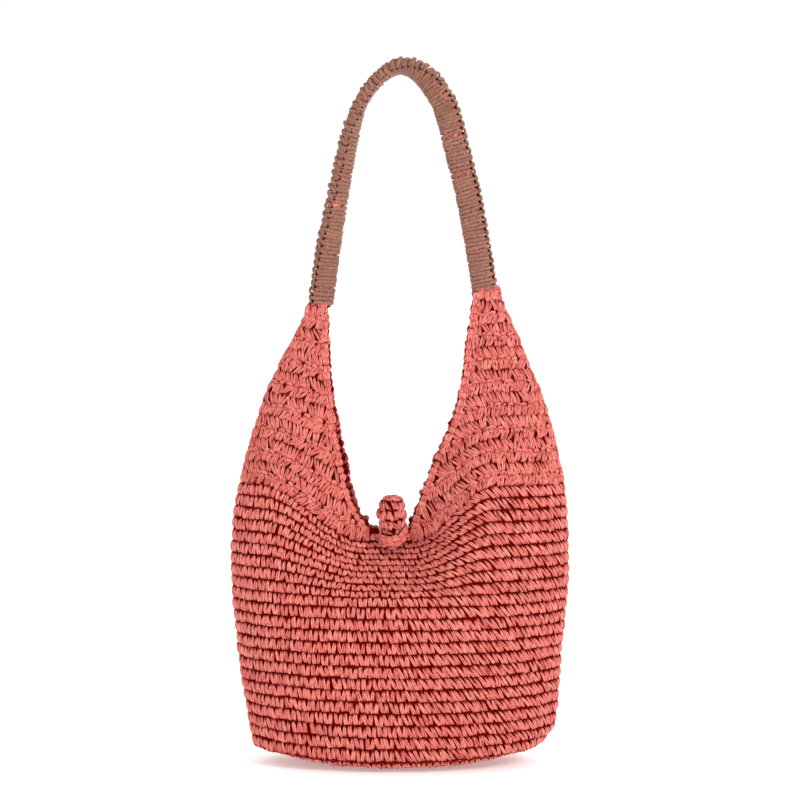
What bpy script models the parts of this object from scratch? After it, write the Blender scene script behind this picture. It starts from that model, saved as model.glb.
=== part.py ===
"""Crocheted straw hobo bag: a bucket worked in rounds, two tapering wings, one cord-wrapped strap.

Metres, +Z up. The bag stands on its oval base at z = 0, its front faces -Y, and the origin is the middle of
the base. The crochet is described by one surface: an angle round the bag and a row number up it.
"""
import math

import bmesh
import bpy
import numpy as np
from mathutils import Matrix, Vector

# ---- Driving dimensions -------------------------------------------------------------------------------------
ROW_HEIGHT = 0.0105          # one crocheted row
FIRST_ROW_HEIGHT = 0.016     # height of the first round where the base turns up, at the bag's ends
FRONT_DROP = 0.006           # the first round is this much lower at the front and back
LAST_ROUND = 23              # full rounds in the bucket, then the wings are worked flat
WALL = 0.004                 # thickness of the crochet
END_CURVE = .85              # how much of the first round's height the base has gained at its two ends
GAP = 0.0003                 # between touching pieces
AROUND = 48                  # sides of the bucket and its lining, so that their facets stay parallel

# Outline of the bag's two ends, as (row, half width), and the half depth before the rims are pinched together
LEFT_END = [(0, -.134), (2, -.138), (8, -.1475), (16, -.154), (20, -.152), (23, -.146), (27, -.135),
            (30, -.1245), (33.5, -.109), (37, -.091), (39, -.083)]
RIGHT_END = [(0, .128), (2, .142), (8, .1475), (16, .154), (20, .1525), (23, .1495), (27, .140),
             (30, .131), (33.5, .1165), (37, .1015), (39, .0925)]
HALF_DEPTH = [(0, .059), (3, .070), (8, .076), (14, .076), (18, .070), (23, .057), (28, .043), (33, .026),
              (37, .015), (39, .011)]

# The loop draws the two rims together at the middle, which pulls the rows down there
PINCH_X = -.007              # where the button stands
PINCH_WIDTH = .058
PINCH = .88                  # how far the rims close, 1 is shut
PINCH_FIRST_ROW = 12
SAG = .054                   # drop of the last round at the middle
SAG_FIRST_ROW = 13.5
SAG_GROWTH = 1.1
SAG_LEFT, SAG_RIGHT = .118, .092
SAG_FLAT = .18               # part of that reach over which the rows hang level at the middle
SAG_FADE_ROWS = 9            # the drop fades over this many rows in the wings

# Inner edges of the wings (the neckline), as (row, x); on the left the back layer reaches further in
LEFT_NECK = [(23, -.0225), (24, -.0400), (25, -.0500), (27, -.0576), (29, -.0637), (31, -.0675), (33, -.0700),
             (35, -.0715), (39, -.0728)]
RIGHT_NECK = [(23, .0094), (24, .0174), (25, .0240), (27, .0368), (29, .0522), (31, .0604), (33, .0645),
              (35, .0668), (39, .0730)]
BACK_REACH = [(23, 0), (24, .0005), (25, .0034), (27, .0042), (29, .0036), (31, .0020), (33, .0010), (39, .0010)]
WING_GAP_ROWS = .30          # between the last round and a wing, whose facets don't line up
EDGING_RADIUS = .0023

# Strap: pivots at the wing tops, and the route of its middle between them
LEFT_PIVOT = Vector((-.0740, 0, .4090))
RIGHT_PIVOT = Vector((.0805, 0, .4180))
STRAP_ROUTE = [(-.0723, .423), (-.0660, .469), (-.0573, .514), (-.0482, .560), (-.0410, .587), (-.0328, .606),
               (-.0170, .6255), (.0014, .6345), (.0220, .6265), (.0387, .605), (.0455, .587), (.0523, .560),
               (.0637, .514), (.0719, .469), (.0787, .428)]
# Turn of the strap's wide side out of the bag's plane, as (part of the length, degrees)
STRAP_TWIST = [(0, 8), (.11, 25), (.21, 48), (.32, 62), (.41, 84), (.50, 72), (.585, 22), (.67, 6), (1, 0)]
STRAP_WIDTH, STRAP_THICKNESS = .0232, .0130
CORE_WIDTH, CORE_THICKNESS = .0166, .0064
WRAP_WALL = .0020
LACING_RADIUS = .0014
ROOT_RADIUS = .0062          # the soft neck bends round this
ROOT_REACH = .0086           # from the pivot to the end of the wrap
WING_TOP_DROP = .0114        # from the pivot down to the wing's CAD top, room for the strap to swing

# Button and loop
KNOB_CENTRE = Vector((-.0070, -.0180, .2275))
KNOB_RADIUS, KNOB_HALF_HEIGHT = .0127, .0188
SHANK_RADIUS = .0050
KNOB_PIVOT_Z = .2050         # the knob tilts on its stem about this height
STEM_TOP_RADIUS = .0033
STEM_FOOT_GAP = .0026        # above the smooth wall, because the faceted one stands a little proud
LOOP_INNER = .0134
LOOP_CORD = .0024            # radius
LOOP_Z_FRONT, LOOP_Z_BACK = .2075, .2205
LOOP_RISE = 1.15             # part of the loop's radius over which it climbs

# Lining and zipped pocket
LINING_WALL = .0010
LINING_OFFSET = -(WALL / 2 + .0018 + LINING_WALL / 2)
HEM_ROWS = (21.05, 22.1)
POCKET_Y = .0598             # inner face of the pocket's flat front
POCKET_HALF_WIDTH = .0520
POCKET_LOW, POCKET_HIGH = .058, .132
ZIP_Z = .120
ZIP_HALF_LENGTH = .044
ZIP_HALF_HEIGHT = .0050
TEETH_HALF = .0014
TEETH_THICKNESS = .0014
POCKET_CLOTH = .0010
POUCH_WIDTH, POUCH_THICKNESS = .084, .0020
POUCH_DROP = .003            # from the slot down to the pouch
POUCH_LIFT = .006            # from the panel's lower edge up to the pouch
POUCH_BEHIND = .0016         # from the panel back to the middle of the pouch
TAPE_THICKNESS, TAPE_EXTRA = .0007, .0025
ZIP_LINE = POCKET_Y + .0005  # the teeth lie in the panel's slot
STOP_SIZE = (.0016, .0018, 2 * TEETH_HALF)
SLIDER_FACE = POCKET_Y - .0003
PULL_DEPTH = .0024           # from the slider's face out to the puller on its bail
SLIDER_PARK = .0050          # the closed slider stops this far short of the tape's end
LABEL_SIZE = (.016, .0005, .026)
LABEL_ANGLE, LABEL_ROW = math.radians(62), 15
LABEL_CLEAR = .0042          # from the lining in to the label


# ---- Curves and the crochet surface -------------------------------------------------------------------------
def smooth(stations, at):
    """A curve through the stations with no overshoot (monotone cubic)."""
    xs = np.array([s[0] for s in stations], float)
    ys = np.array([s[1] for s in stations], float)
    step = np.diff(xs)
    slope = np.diff(ys) / step
    tangent = np.zeros(len(xs))
    tangent[0], tangent[-1] = slope[0], slope[-1]
    for i in range(1, len(xs) - 1):
        if slope[i - 1] * slope[i] > 0:
            w1, w2 = 2 * step[i] + step[i - 1], step[i] + 2 * step[i - 1]
            tangent[i] = (w1 + w2) / (w1 / slope[i - 1] + w2 / slope[i])
    at = min(max(at, xs[0]), xs[-1])
    i = min(int(np.searchsorted(xs, at, side="right")) - 1, len(xs) - 2)
    h, t = step[i], (at - xs[i]) / step[i]
    return float(ys[i] * (1 + 2 * t) * (1 - t) ** 2 + h * tangent[i] * t * (1 - t) ** 2
                 + ys[i + 1] * t * t * (3 - 2 * t) + h * tangent[i + 1] * t * t * (t - 1))


def base_rise(x, rise):
    """Share of the way up from the floor to the first round: the base also curves up towards its two ends."""
    centre, half_width = middle_and_half_width(0)
    end = END_CURVE * min(abs(x - centre) / half_width, 1) ** 3.2
    return 1 - (1 - rise) * (1 - end)


def pinch(x, row):
    """How far the layer is drawn towards the middle plane, 0 to PINCH."""
    up = min(max((row - PINCH_FIRST_ROW) / (LAST_ROUND - PINCH_FIRST_ROW), 0), 1) ** 1.4
    return PINCH * up * math.exp(-((x - PINCH_X) / PINCH_WIDTH) ** 2)


def sag(x, row):
    """How far a row hangs below its own height at the bag's ends."""
    reach = SAG_LEFT if x < PINCH_X else SAG_RIGHT
    away = min(max((abs(x - PINCH_X) / reach - SAG_FLAT) / (1 - SAG_FLAT), 0), 1)
    if row <= LAST_ROUND:
        depth = SAG * max((row - SAG_FIRST_ROW) / (LAST_ROUND - SAG_FIRST_ROW), 0) ** SAG_GROWTH
    else:
        depth = SAG * math.exp(-(row - LAST_ROUND) / SAG_FADE_ROWS)
    return depth * (.5 + .5 * math.cos(math.pi * away))


def middle_and_half_width(row):
    left, right = smooth(LEFT_END, row), smooth(RIGHT_END, row)
    return (left + right) / 2, (right - left) / 2


def surface(angle, row):
    """Point on the middle of the crochet: angle 0 is the right end, -90 degrees the front."""
    centre, half_width = middle_and_half_width(row)
    x = centre + half_width * math.cos(angle)
    y = smooth(HALF_DEPTH, row) * math.sin(angle) * (1 - pinch(x, row))
    low = FRONT_DROP * math.sin(angle) ** 2 * math.exp(-max(row, 0) / 4)
    return Vector((x, y, FIRST_ROW_HEIGHT + ROW_HEIGHT * row - low - sag(x, row)))


def outward(angle, row):
    """Unit normal of the crochet, pointing out of the bag."""
    d_angle, d_row = .002, .02
    along = surface(angle + d_angle, row) - surface(angle - d_angle, row)
    up = surface(angle, row + d_row) - surface(angle, row - d_row)
    return along.cross(up).normalized()


def offset_surface(angle, row, distance):
    return surface(angle, row) + outward(angle, row) * distance


def neck_angle(side, row, front):
    """Angle of a wing's inner edge at a row, measured from the middle of its own end of the bag."""
    centre, half_width = middle_and_half_width(row)
    x = smooth(LEFT_NECK if side < 0 else RIGHT_NECK, row)
    if not front and side < 0:
        x += smooth(BACK_REACH, row)
    return math.acos(min(max(side * (x - centre) / half_width, -1), 1))


def wing_angle(side, row, part):
    """Angle at part 0 (front neckline) to 1 (back neckline) of a wing, round its end of the bag."""
    front, back = -neck_angle(side, row, True), neck_angle(side, row, False)
    turn = front + (back - front) * part
    return turn if side > 0 else math.pi - turn


# ---- Mesh helpers -------------------------------------------------------------------------------------------
def material(name, colour, roughness=.7, metallic=0.0):
    made = bpy.data.materials.new(name)
    made.use_nodes = True
    shader = made.node_tree.nodes["Principled BSDF"]
    shader.inputs["Base Color"].default_value = (*colour, 1)
    shader.inputs["Roughness"].default_value = roughness
    shader.inputs["Metallic"].default_value = metallic
    return made


def smooth_shade(mesh):
    mesh.shade_smooth()
    mesh.set_sharp_from_angle(angle=math.radians(40))


def add_object(name, mesh, look, parent=None):
    obj = bpy.data.objects.new(name, mesh)
    mesh.materials.append(look)
    parts.objects.link(obj)
    smooth_shade(mesh)
    if parent:
        obj.parent = parent
        obj.matrix_parent_inverse = parent.matrix_world.inverted()
    return obj


def grid_mesh(name, rows, closed):
    """Quads between equal rows of points; closed joins each row's last point to its first."""
    bm = bmesh.new()
    verts = [[bm.verts.new(p) for p in row] for row in rows]
    count = len(rows[0])
    for low, high in zip(verts, verts[1:]):
        for i in range(count if closed else count - 1):
            j = (i + 1) % count
            bm.faces.new((low[i], low[j], high[j], high[i]))
    mesh = bpy.data.meshes.new(name)
    bm.to_mesh(mesh)
    bm.free()
    return mesh


def sheet_object(name, rows, closed, thickness, look, parent=None):
    """An open surface given its thickness by Solidify, half to each side."""
    obj = add_object(name, grid_mesh(name, rows, closed), look, parent)
    solid = obj.modifiers.new("thickness", "SOLIDIFY")
    solid.thickness = thickness
    solid.offset = 0
    solid.use_even_offset = True
    return obj


def loft_object(name, rings, look, parent=None):
    """A closed loft through unlike sections, capped at both ends."""
    bm = bmesh.new()
    loops = [[bm.verts.new(p) for p in ring] for ring in rings]
    for a, b in zip(loops, loops[1:]):
        for i in range(len(a)):
            j = (i + 1) % len(a)
            bm.faces.new((a[i], a[j], b[j], b[i]))
    bm.faces.new(list(reversed(loops[0])))
    bm.faces.new(loops[-1])
    bmesh.ops.recalc_face_normals(bm, faces=bm.faces)
    mesh = bpy.data.meshes.new(name)
    bm.to_mesh(mesh)
    bm.free()
    return add_object(name, mesh, look, parent)


def tube_object(name, points, radius, look, parent=None, cyclic=False):
    curve = bpy.data.curves.new(name, "CURVE")
    curve.dimensions = "3D"
    curve.bevel_depth = radius
    curve.bevel_resolution = 2
    curve.render_resolution_u = 0
    curve.use_fill_caps = True
    spline = curve.splines.new("POLY")
    spline.points.add(len(points) - 1)
    for point, at in zip(spline.points, points):
        point.co = (*at, 1)
    spline.use_cyclic_u = cyclic
    curve.materials.append(look)
    obj = bpy.data.objects.new(name, curve)
    parts.objects.link(obj)
    if parent:
        obj.parent = parent
        obj.matrix_parent_inverse = parent.matrix_world.inverted()
    return obj


def box_object(name, size, centre, look, parent=None, bevel=0.0):
    bm = bmesh.new()
    bmesh.ops.create_cube(bm, size=1, matrix=Matrix.Diagonal((*size, 1)))
    mesh = bpy.data.meshes.new(name)
    bm.to_mesh(mesh)
    bm.free()
    obj = add_object(name, mesh, look)
    obj.location = centre
    if parent:
        obj.parent = parent
        obj.matrix_parent_inverse = parent.matrix_world.inverted()
    if bevel:
        edge = obj.modifiers.new("edge", "BEVEL")
        edge.width = bevel
        edge.segments = 1
    return obj


def turned_object(name, profile, centre, steps, look, parent=None):
    """A turned solid: the profile runs down its outer side from the axis at the top to the axis below."""
    mesh = bpy.data.meshes.new(name)
    mesh.from_pydata([(r, 0, z) for r, z in profile], [(i, i + 1) for i in range(len(profile) - 1)], [])
    obj = bpy.data.objects.new(name, mesh)
    mesh.materials.append(look)
    parts.objects.link(obj)
    obj.location = centre
    screw = obj.modifiers.new("turned", "SCREW")
    screw.steps = screw.render_steps = steps
    screw.use_merge_vertices = True
    screw.merge_threshold = .00001
    if parent:
        obj.parent = parent
        obj.matrix_parent_inverse = parent.matrix_world.inverted()
    return obj


def pivot_empty(name, at):
    empty = bpy.data.objects.new(name, None)
    empty.empty_display_size = .02
    empty.location = at
    parts.objects.link(empty)
    bpy.context.view_layer.update()
    return empty


# ---- Crocheted shell ----------------------------------------------------------------------------------------
def around(count):
    return [2 * math.pi * i / count for i in range(count)]


def make_base(straw):
    """Oval base: flat underneath, its rim curving up to meet the first round."""
    steps = [(.12, 0), (.45, 0), (.74, 0), (.86, .10), (.95, .38), (1.0, .86)]
    rings = []
    for reach, rise in steps:
        ring = []
        for angle in around(AROUND):
            rim = surface(angle, 0)
            centre, half_width = middle_and_half_width(0)
            x = centre + half_width * math.cos(angle) * reach
            y = smooth(HALF_DEPTH, 0) * math.sin(angle) * reach
            ring.append((x, y, WALL / 2 + (rim.z - WALL / 2) * base_rise(x, rise)))
        rings.append(ring)
    rings.reverse()
    bm = bmesh.new()
    loops = [[bm.verts.new(p) for p in ring] for ring in rings]
    for a, b in zip(loops, loops[1:]):
        for i in range(len(a)):
            j = (i + 1) % len(a)
            bm.faces.new((a[i], b[i], b[j], a[j]))
    bm.faces.new(loops[-1])
    bmesh.ops.recalc_face_normals(bm, faces=bm.faces)
    mesh = bpy.data.meshes.new("base_panel")
    bm.to_mesh(mesh)
    bm.free()
    obj = add_object("base_panel", mesh, straw)
    solid = obj.modifiers.new("thickness", "SOLIDIFY")
    solid.thickness = WALL
    solid.offset = 0
    solid.use_even_offset = False
    return obj


def make_wall(straw):
    rows = [0.15, 1, 2, 5, 8, 11, 13, 15, 17, 19, 21, LAST_ROUND]
    points = [[surface(a, row) for a in around(AROUND)] for row in rows]
    return sheet_object("body_wall", points, True, WALL, straw)


def wing_top_row(pivot):
    return (pivot.z - WING_TOP_DROP - FIRST_ROW_HEIGHT + .002) / ROW_HEIGHT


def make_wing(name, side, pivot, straw):
    first, last = LAST_ROUND + WING_GAP_ROWS, wing_top_row(pivot)
    rows = []
    steps = 10
    for i in range(steps + 1):
        row = first + (last - first) * (i / steps) ** 1.4
        rows.append([surface(wing_angle(side, row, j / 22), row) for j in range(23)])
    return sheet_object(name, rows, False, WALL, straw)


def neckline(front):
    """The route of one neckline's edging: down the left wing, along the rim, up the right wing."""
    sign = -1 if front else 1
    route = []
    left_rows = [35.8, 34, 32, 30, 28.5, 27, 26, 25.2, 24.5, 23.9]
    for row in left_rows:
        angle = neck_angle(-1, row, front)
        route.append((math.pi - sign * angle, row))
    first = neck_angle(-1, LAST_ROUND + .3, front)
    last = neck_angle(1, LAST_ROUND + .3, front)
    for i in range(1, 8):
        part = i / 8
        start, end = math.pi - sign * first, sign * last
        if front:
            end += 2 * math.pi
        route.append((start + (end - start) * part, LAST_ROUND))
    for row in reversed([36.4, 34.5] + left_rows[2:]):
        angle = neck_angle(1, row, front)
        route.append((sign * angle + (2 * math.pi if front else 0), row))
    points = []
    for i, (angle, row) in enumerate(route):
        here = surface(angle, row)
        before = surface(*route[max(i - 1, 0)])
        after = surface(*route[min(i + 1, len(route) - 1)])
        along = (after - before).normalized()
        inwards = outward(angle, row).cross(along)
        if inwards.dot(Vector((PINCH_X, here.y, .5)) - here) < 0:
            inwards.negate()
        points.append(here + inwards * (EDGING_RADIUS + .0019))
    return points


def resample(points, count, closed=False):
    """Evenly spaced points on a smooth curve through the given ones."""
    points = [Vector(p) for p in points]
    if closed:
        points.append(points[0])
    lengths = np.concatenate([[0], np.cumsum([(b - a).length for a, b in zip(points, points[1:])])])
    wanted = np.linspace(0, lengths[-1], count + 1 if closed else count)
    made = []
    for at in wanted[:count]:
        i = min(int(np.searchsorted(lengths, at, side="right")) - 1, len(points) - 2)
        t = (at - lengths[i]) / (lengths[i + 1] - lengths[i])
        p1, p2 = points[i], points[i + 1]
        p0 = points[i - 1] if i else (points[-2] if closed else 2 * p1 - p2)
        p3 = points[i + 2] if i + 2 < len(points) else (points[1] if closed else 2 * p2 - p1)
        made.append(.5 * (2 * p1 + (p2 - p0) * t + (2 * p0 - 5 * p1 + 4 * p2 - p3) * t ** 2
                          + (3 * p1 - 3 * p2 + p3 - p0) * t ** 3))
    return made


# ---- Strap --------------------------------------------------------------------------------------------------
def strap_frames(count):
    """Evenly spaced places along the strap: point, unit wide direction, unit thin direction."""
    route = [Vector((x, 0, z)) for x, z in STRAP_ROUTE]
    start = LEFT_PIVOT + (route[0] - LEFT_PIVOT).normalized() * (ROOT_REACH + GAP)
    end = RIGHT_PIVOT + (route[-1] - RIGHT_PIVOT).normalized() * (ROOT_REACH + GAP)
    points = resample([start] + route[1:-1] + [end], count)
    frames = []
    for i, point in enumerate(points):
        along = (points[min(i + 1, count - 1)] - points[max(i - 1, 0)]).normalized()
        outer = Vector((-along.z, 0, along.x))
        turn = math.radians(smooth(STRAP_TWIST, i / (count - 1)))
        wide = outer * math.cos(turn) + Vector((0, -1, 0)) * math.sin(turn)
        frames.append((point, wide, along.cross(wide).normalized()))
    return frames


def oval(point, wide, thin, half_width, half_thickness, count):
    """A flattened ring: more square than an ellipse."""
    ring = []
    for angle in around(count):
        c, s = math.cos(angle), math.sin(angle)
        ring.append(point + wide * half_width * math.copysign(abs(c) ** .75, c)
                    + thin * half_thickness * math.copysign(abs(s) ** .75, s))
    return ring


def make_strap(cord, straw, pivot):
    frames = strap_frames(31)
    shift = -LACING_RADIUS
    core = [oval(p + w * shift, w, t, CORE_WIDTH / 2, CORE_THICKNESS / 2, 12) for p, w, t in frames]
    loft_object("strap_core", core, straw, pivot)
    # The wrap is a sleeve: out along its outer face and back along its inner face, joined at both ends.
    outer = [oval(p + w * shift, w, t, STRAP_WIDTH / 2, STRAP_THICKNESS / 2, 12) for p, w, t in frames]
    inner = [oval(p + w * shift, w, t, STRAP_WIDTH / 2 - WRAP_WALL, STRAP_THICKNESS / 2 - WRAP_WALL, 12)
             for p, w, t in frames]
    rings = outer + list(reversed(inner))
    bm = bmesh.new()
    loops = [[bm.verts.new(p) for p in ring] for ring in rings]
    for k, a in enumerate(loops):
        b = loops[(k + 1) % len(loops)]
        for i in range(12):
            j = (i + 1) % 12
            bm.faces.new((a[i], a[j], b[j], b[i]))
    bmesh.ops.recalc_face_normals(bm, faces=bm.faces)
    mesh = bpy.data.meshes.new("strap_wrap")
    bm.to_mesh(mesh)
    bm.free()
    add_object("strap_wrap", mesh, cord, pivot)
    edge = [p + w * (STRAP_WIDTH / 2 + LACING_RADIUS + GAP + shift + .0001) for p, w, t in frames[1:-1]]
    tube_object("strap_lacing", edge, LACING_RADIUS, cord, pivot)


def make_strap_root(name, at, straw):
    """The soft neck between wing and strap: round about the hinge line, with a web down to the wing."""
    axis = (RIGHT_PIVOT - LEFT_PIVOT).normalized()
    up = Vector((0, 1, 0)).cross(axis).normalized() * -1
    if up.z < 0:
        up.negate()
    outline = []
    for i in range(13):
        angle = math.radians(-32 + 244 * i / 12)
        outline.append((ROOT_RADIUS * math.cos(angle), ROOT_RADIUS * math.sin(angle)))
    web = .0034
    outline += [(-web, -WING_TOP_DROP + .0022), (web, -WING_TOP_DROP + .0022)]
    rings = []
    for side in (-1, 1):
        middle = at + axis * side * (STRAP_WIDTH / 2 - .0008)
        rings.append([middle + Vector((0, 1, 0)) * y + up * z for y, z in outline])
    return loft_object(name, rings, straw)


# ---- Button and loop ----------------------------------------------------------------------------------------
def make_button(straw, thread, pivot):
    """An egg-shaped crocheted ball over stuffing, on a thread stem."""
    shell = .0022
    outer, inner = [], []
    steps = 9
    for i in range(steps + 1):
        angle = math.pi * i / steps
        outer.append((KNOB_RADIUS * math.sin(angle), KNOB_HALF_HEIGHT * math.cos(angle)))
        inner.append(((KNOB_RADIUS - shell) * math.sin(angle), (KNOB_HALF_HEIGHT - shell) * math.cos(angle)))
    # The shell stays open below, so the profile comes back up its inner face to the axis at the top.
    mouth = SHANK_RADIUS
    outer = [(r, z) for r, z in outer if r > mouth or z > 0]
    inner = [(r, z) for r, z in inner if r > mouth or z > 0]
    low_outer = -KNOB_HALF_HEIGHT * math.sqrt(1 - (mouth / KNOB_RADIUS) ** 2)
    low_inner = -(KNOB_HALF_HEIGHT - shell) * math.sqrt(1 - (mouth / (KNOB_RADIUS - shell)) ** 2)
    profile = outer + [(mouth, low_outer), (mouth, low_inner)] + list(reversed(inner))
    profile[0] = (0, KNOB_HALF_HEIGHT)
    profile[-1] = (0, KNOB_HALF_HEIGHT - shell)
    turned_object("button_shell", profile, KNOB_CENTRE, 16, straw, pivot)
    fill = shell + GAP + .0002
    r_fill, h_fill = KNOB_RADIUS - fill, KNOB_HALF_HEIGHT - fill
    stuffing = [(r_fill * math.sin(math.pi * i / 8), h_fill * math.cos(math.pi * i / 8)) for i in range(7)]
    stuffing[0] = (0, h_fill)
    stuffing.append((0, stuffing[-1][1]))
    turned_object("button_stuffing", stuffing, KNOB_CENTRE, 12, thread, pivot)


def front_angle(x, row):
    centre, half_width = middle_and_half_width(row)
    return -math.acos((x - centre) / half_width)


def wall_height(x, y):
    """Height of the front wall's outer face where it slopes in under the button."""
    low, high = float(PINCH_FIRST_ROW), float(LAST_ROUND)
    for _ in range(24):
        row = (low + high) / 2
        at = offset_surface(front_angle(x, row), row, WALL / 2)
        low, high = (row, high) if at.y < y else (low, row)
    return at.z


def make_shank(straw):
    """The thread stem: its foot follows the sloping wall and its domed top carries the knob."""
    def ring(radius, z=None):
        made = []
        for angle in around(12):
            x, y = KNOB_CENTRE.x + radius * math.cos(angle), KNOB_CENTRE.y + radius * math.sin(angle)
            made.append((x, y, wall_height(x, y) + STEM_FOOT_GAP if z is None else z))
        return made
    rings = [ring(SHANK_RADIUS), ring(SHANK_RADIUS, KNOB_PIVOT_Z - .0012)]
    for angle in (0, 35, 65):
        lean = math.radians(angle)
        rings.append(ring(STEM_TOP_RADIUS * math.cos(lean), KNOB_PIVOT_Z + STEM_TOP_RADIUS * math.sin(lean)))
    loft_object("button_shank", rings, straw)


def loop_point(angle, radius):
    """The loop is a circle seen from above: low in front of the knob's neck, then up and over the rims."""
    y = math.sin(angle)
    t = min((1 + y) / LOOP_RISE, 1)
    z = LOOP_Z_FRONT + (LOOP_Z_BACK - LOOP_Z_FRONT) * t * t * (3 - 2 * t)
    return Vector((KNOB_CENTRE.x + radius * math.cos(angle), KNOB_CENTRE.y + radius * y, z))


def make_loop(straw, pivot):
    middle = LOOP_INNER + LOOP_CORD
    tube_object("closure_loop", [loop_point(a, middle) for a in around(28)], LOOP_CORD, straw, pivot, True)
    top = loop_point(math.pi / 2, middle)
    tether = [top + Vector((0, LOOP_CORD + .0026, .0002)), top + Vector((0, .0078, -.0022)),
              Vector((top.x, .0080, .2128))]
    tube_object("loop_tether", resample(tether, 6), .0020, straw)


# ---- Lining and zipped pocket -------------------------------------------------------------------------------
def make_lining(cloth):
    rows = [0.9, 3, 6, 9, 12, 14, 16, 18, 20, HEM_ROWS[0] - .06]
    wall = [[offset_surface(a, row, LINING_OFFSET) for a in around(AROUND)] for row in rows]
    sheet_object("lining_wall", wall, True, LINING_WALL, cloth)
    hem = [[offset_surface(a, row, LINING_OFFSET) for a in around(AROUND)] for row in HEM_ROWS]
    sheet_object("lining_hem", hem, True, LINING_WALL * 1.6, cloth)
    centre, half_width = middle_and_half_width(0)
    rings = []
    for reach, rise in [(.93, .68), (.84, .16), (.72, .01), (.60, 0), (.40, 0), (.20, 0)]:
        ring = []
        for a in around(AROUND):
            x = centre + half_width * math.cos(a) * reach
            height = (surface(a, 0).z - WALL / 2) * base_rise(x, rise)
            ring.append((x, smooth(HALF_DEPTH, 0) * math.sin(a) * reach, WALL + .0014 + height))
        rings.append(ring)
    bm = bmesh.new()
    loops = [[bm.verts.new(p) for p in ring] for ring in rings]
    for a, b in zip(loops, loops[1:]):
        for i in range(AROUND):
            j = (i + 1) % AROUND
            bm.faces.new((a[i], b[i], b[j], a[j]))
    bm.faces.new(loops[-1])
    bmesh.ops.recalc_face_normals(bm, faces=bm.faces)
    mesh = bpy.data.meshes.new("lining_base")
    bm.to_mesh(mesh)
    bm.free()
    obj = add_object("lining_base", mesh, cloth)
    solid = obj.modifiers.new("thickness", "SOLIDIFY")
    solid.thickness = LINING_WALL
    solid.offset = 0


def make_pocket(cloth, tape, metal, cutters):
    """A flat zipped patch pocket across the back of the lining."""
    middle_z = (POCKET_LOW + POCKET_HIGH) / 2
    panel = box_object("pocket_panel", (2 * POCKET_HALF_WIDTH, POCKET_CLOTH, POCKET_HIGH - POCKET_LOW),
                       (0, POCKET_Y + POCKET_CLOTH / 2, middle_z), cloth)
    slot_half = (ZIP_HALF_LENGTH + TAPE_EXTRA + .0005, ZIP_HALF_HEIGHT + GAP)
    bm = bmesh.new()
    bmesh.ops.create_cube(bm, size=1, matrix=Matrix.Diagonal((2 * slot_half[0], .02, 2 * slot_half[1], 1)))
    mesh = bpy.data.meshes.new("zip_slot")
    bm.to_mesh(mesh)
    bm.free()
    slot = bpy.data.objects.new("zip_slot", mesh)
    slot.location = (0, POCKET_Y, ZIP_Z)
    slot.hide_render = True
    slot.display_type = "WIRE"
    cutters.objects.link(slot)
    cut = panel.modifiers.new("zip slot", "BOOLEAN")
    cut.operation = "DIFFERENCE"
    cut.object = slot
    pouch_top, pouch_foot = ZIP_Z - ZIP_HALF_HEIGHT - POUCH_DROP, POCKET_LOW + POUCH_LIFT
    box_object("pocket_bag", (POUCH_WIDTH, POUCH_THICKNESS, pouch_top - pouch_foot),
               (0, POCKET_Y + POCKET_CLOTH + POUCH_BEHIND, (pouch_top + pouch_foot) / 2), cloth, bevel=.0006)
    for name, side in (("upper", 1), ("lower", -1)):
        height = ZIP_HALF_HEIGHT - TEETH_HALF - GAP
        box_object("zip_tape_" + name, (2 * (ZIP_HALF_LENGTH + TAPE_EXTRA), TAPE_THICKNESS, height),
                   (0, ZIP_LINE, ZIP_Z + side * (TEETH_HALF + GAP + height / 2)), tape)
        box_object("zip_teeth_" + name, (2 * ZIP_HALF_LENGTH, TEETH_THICKNESS, TEETH_HALF - .0002),
                   (0, ZIP_LINE, ZIP_Z + side * (TEETH_HALF / 2 + .0001)), metal)
    for name, side in (("start", -1), ("end", 1)):
        box_object("zip_stop_" + name, STOP_SIZE, (side * (ZIP_HALF_LENGTH + .0012), ZIP_LINE, ZIP_Z), metal)


def union_object(name, boxes, look, parent):
    """Boxes joined into one body by EXACT unions."""
    result = None
    for size, centre in boxes:
        bm = bmesh.new()
        bmesh.ops.create_cube(bm, size=1, matrix=Matrix.Translation(centre) @ Matrix.Diagonal((*size, 1)))
        mesh = bpy.data.meshes.new(name)
        bm.to_mesh(mesh)
        bm.free()
        if result is None:
            result = add_object(name, mesh, look)
            continue
        other = bpy.data.objects.new(name + "_join", mesh)
        other.hide_render = True
        other.display_type = "WIRE"
        joiners.objects.link(other)
        join = result.modifiers.new("join", "BOOLEAN")
        join.operation = "UNION"
        join.object = other
    result.parent = parent
    result.matrix_parent_inverse = parent.matrix_world.inverted()
    return result


def make_zip_slider(metal, slide_pivot, pull_pivot):
    """Slider: a plate each side of the teeth joined by flanges, with a bail; the puller hangs on the bail."""
    x = ZIP_HALF_LENGTH - SLIDER_PARK
    face = SLIDER_FACE
    slider = [((.0080, .0011, .0068), (x, face - .0006, ZIP_Z)),
              ((.0012, .0027, .0012), (x - .0028, face - .0021, ZIP_Z)),
              ((.0012, .0027, .0012), (x + .0028, face - .0021, ZIP_Z)),
              ((.0068, .0009, .0012), (x, face - .0038, ZIP_Z))]
    union_object("zip_slider", slider, metal, slide_pivot)
    y = pull_pivot.location.y
    puller = [((.0008, .0008, .0044), (x, y, ZIP_Z)),
              ((.0052, .0008, .0008), (x - .0024, y, ZIP_Z + .0018)),
              ((.0052, .0008, .0008), (x - .0024, y, ZIP_Z - .0018)),
              ((.0170, .0009, .0050), (x - .0130, y, ZIP_Z))]
    union_object("zip_puller", puller, metal, pull_pivot)


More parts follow.
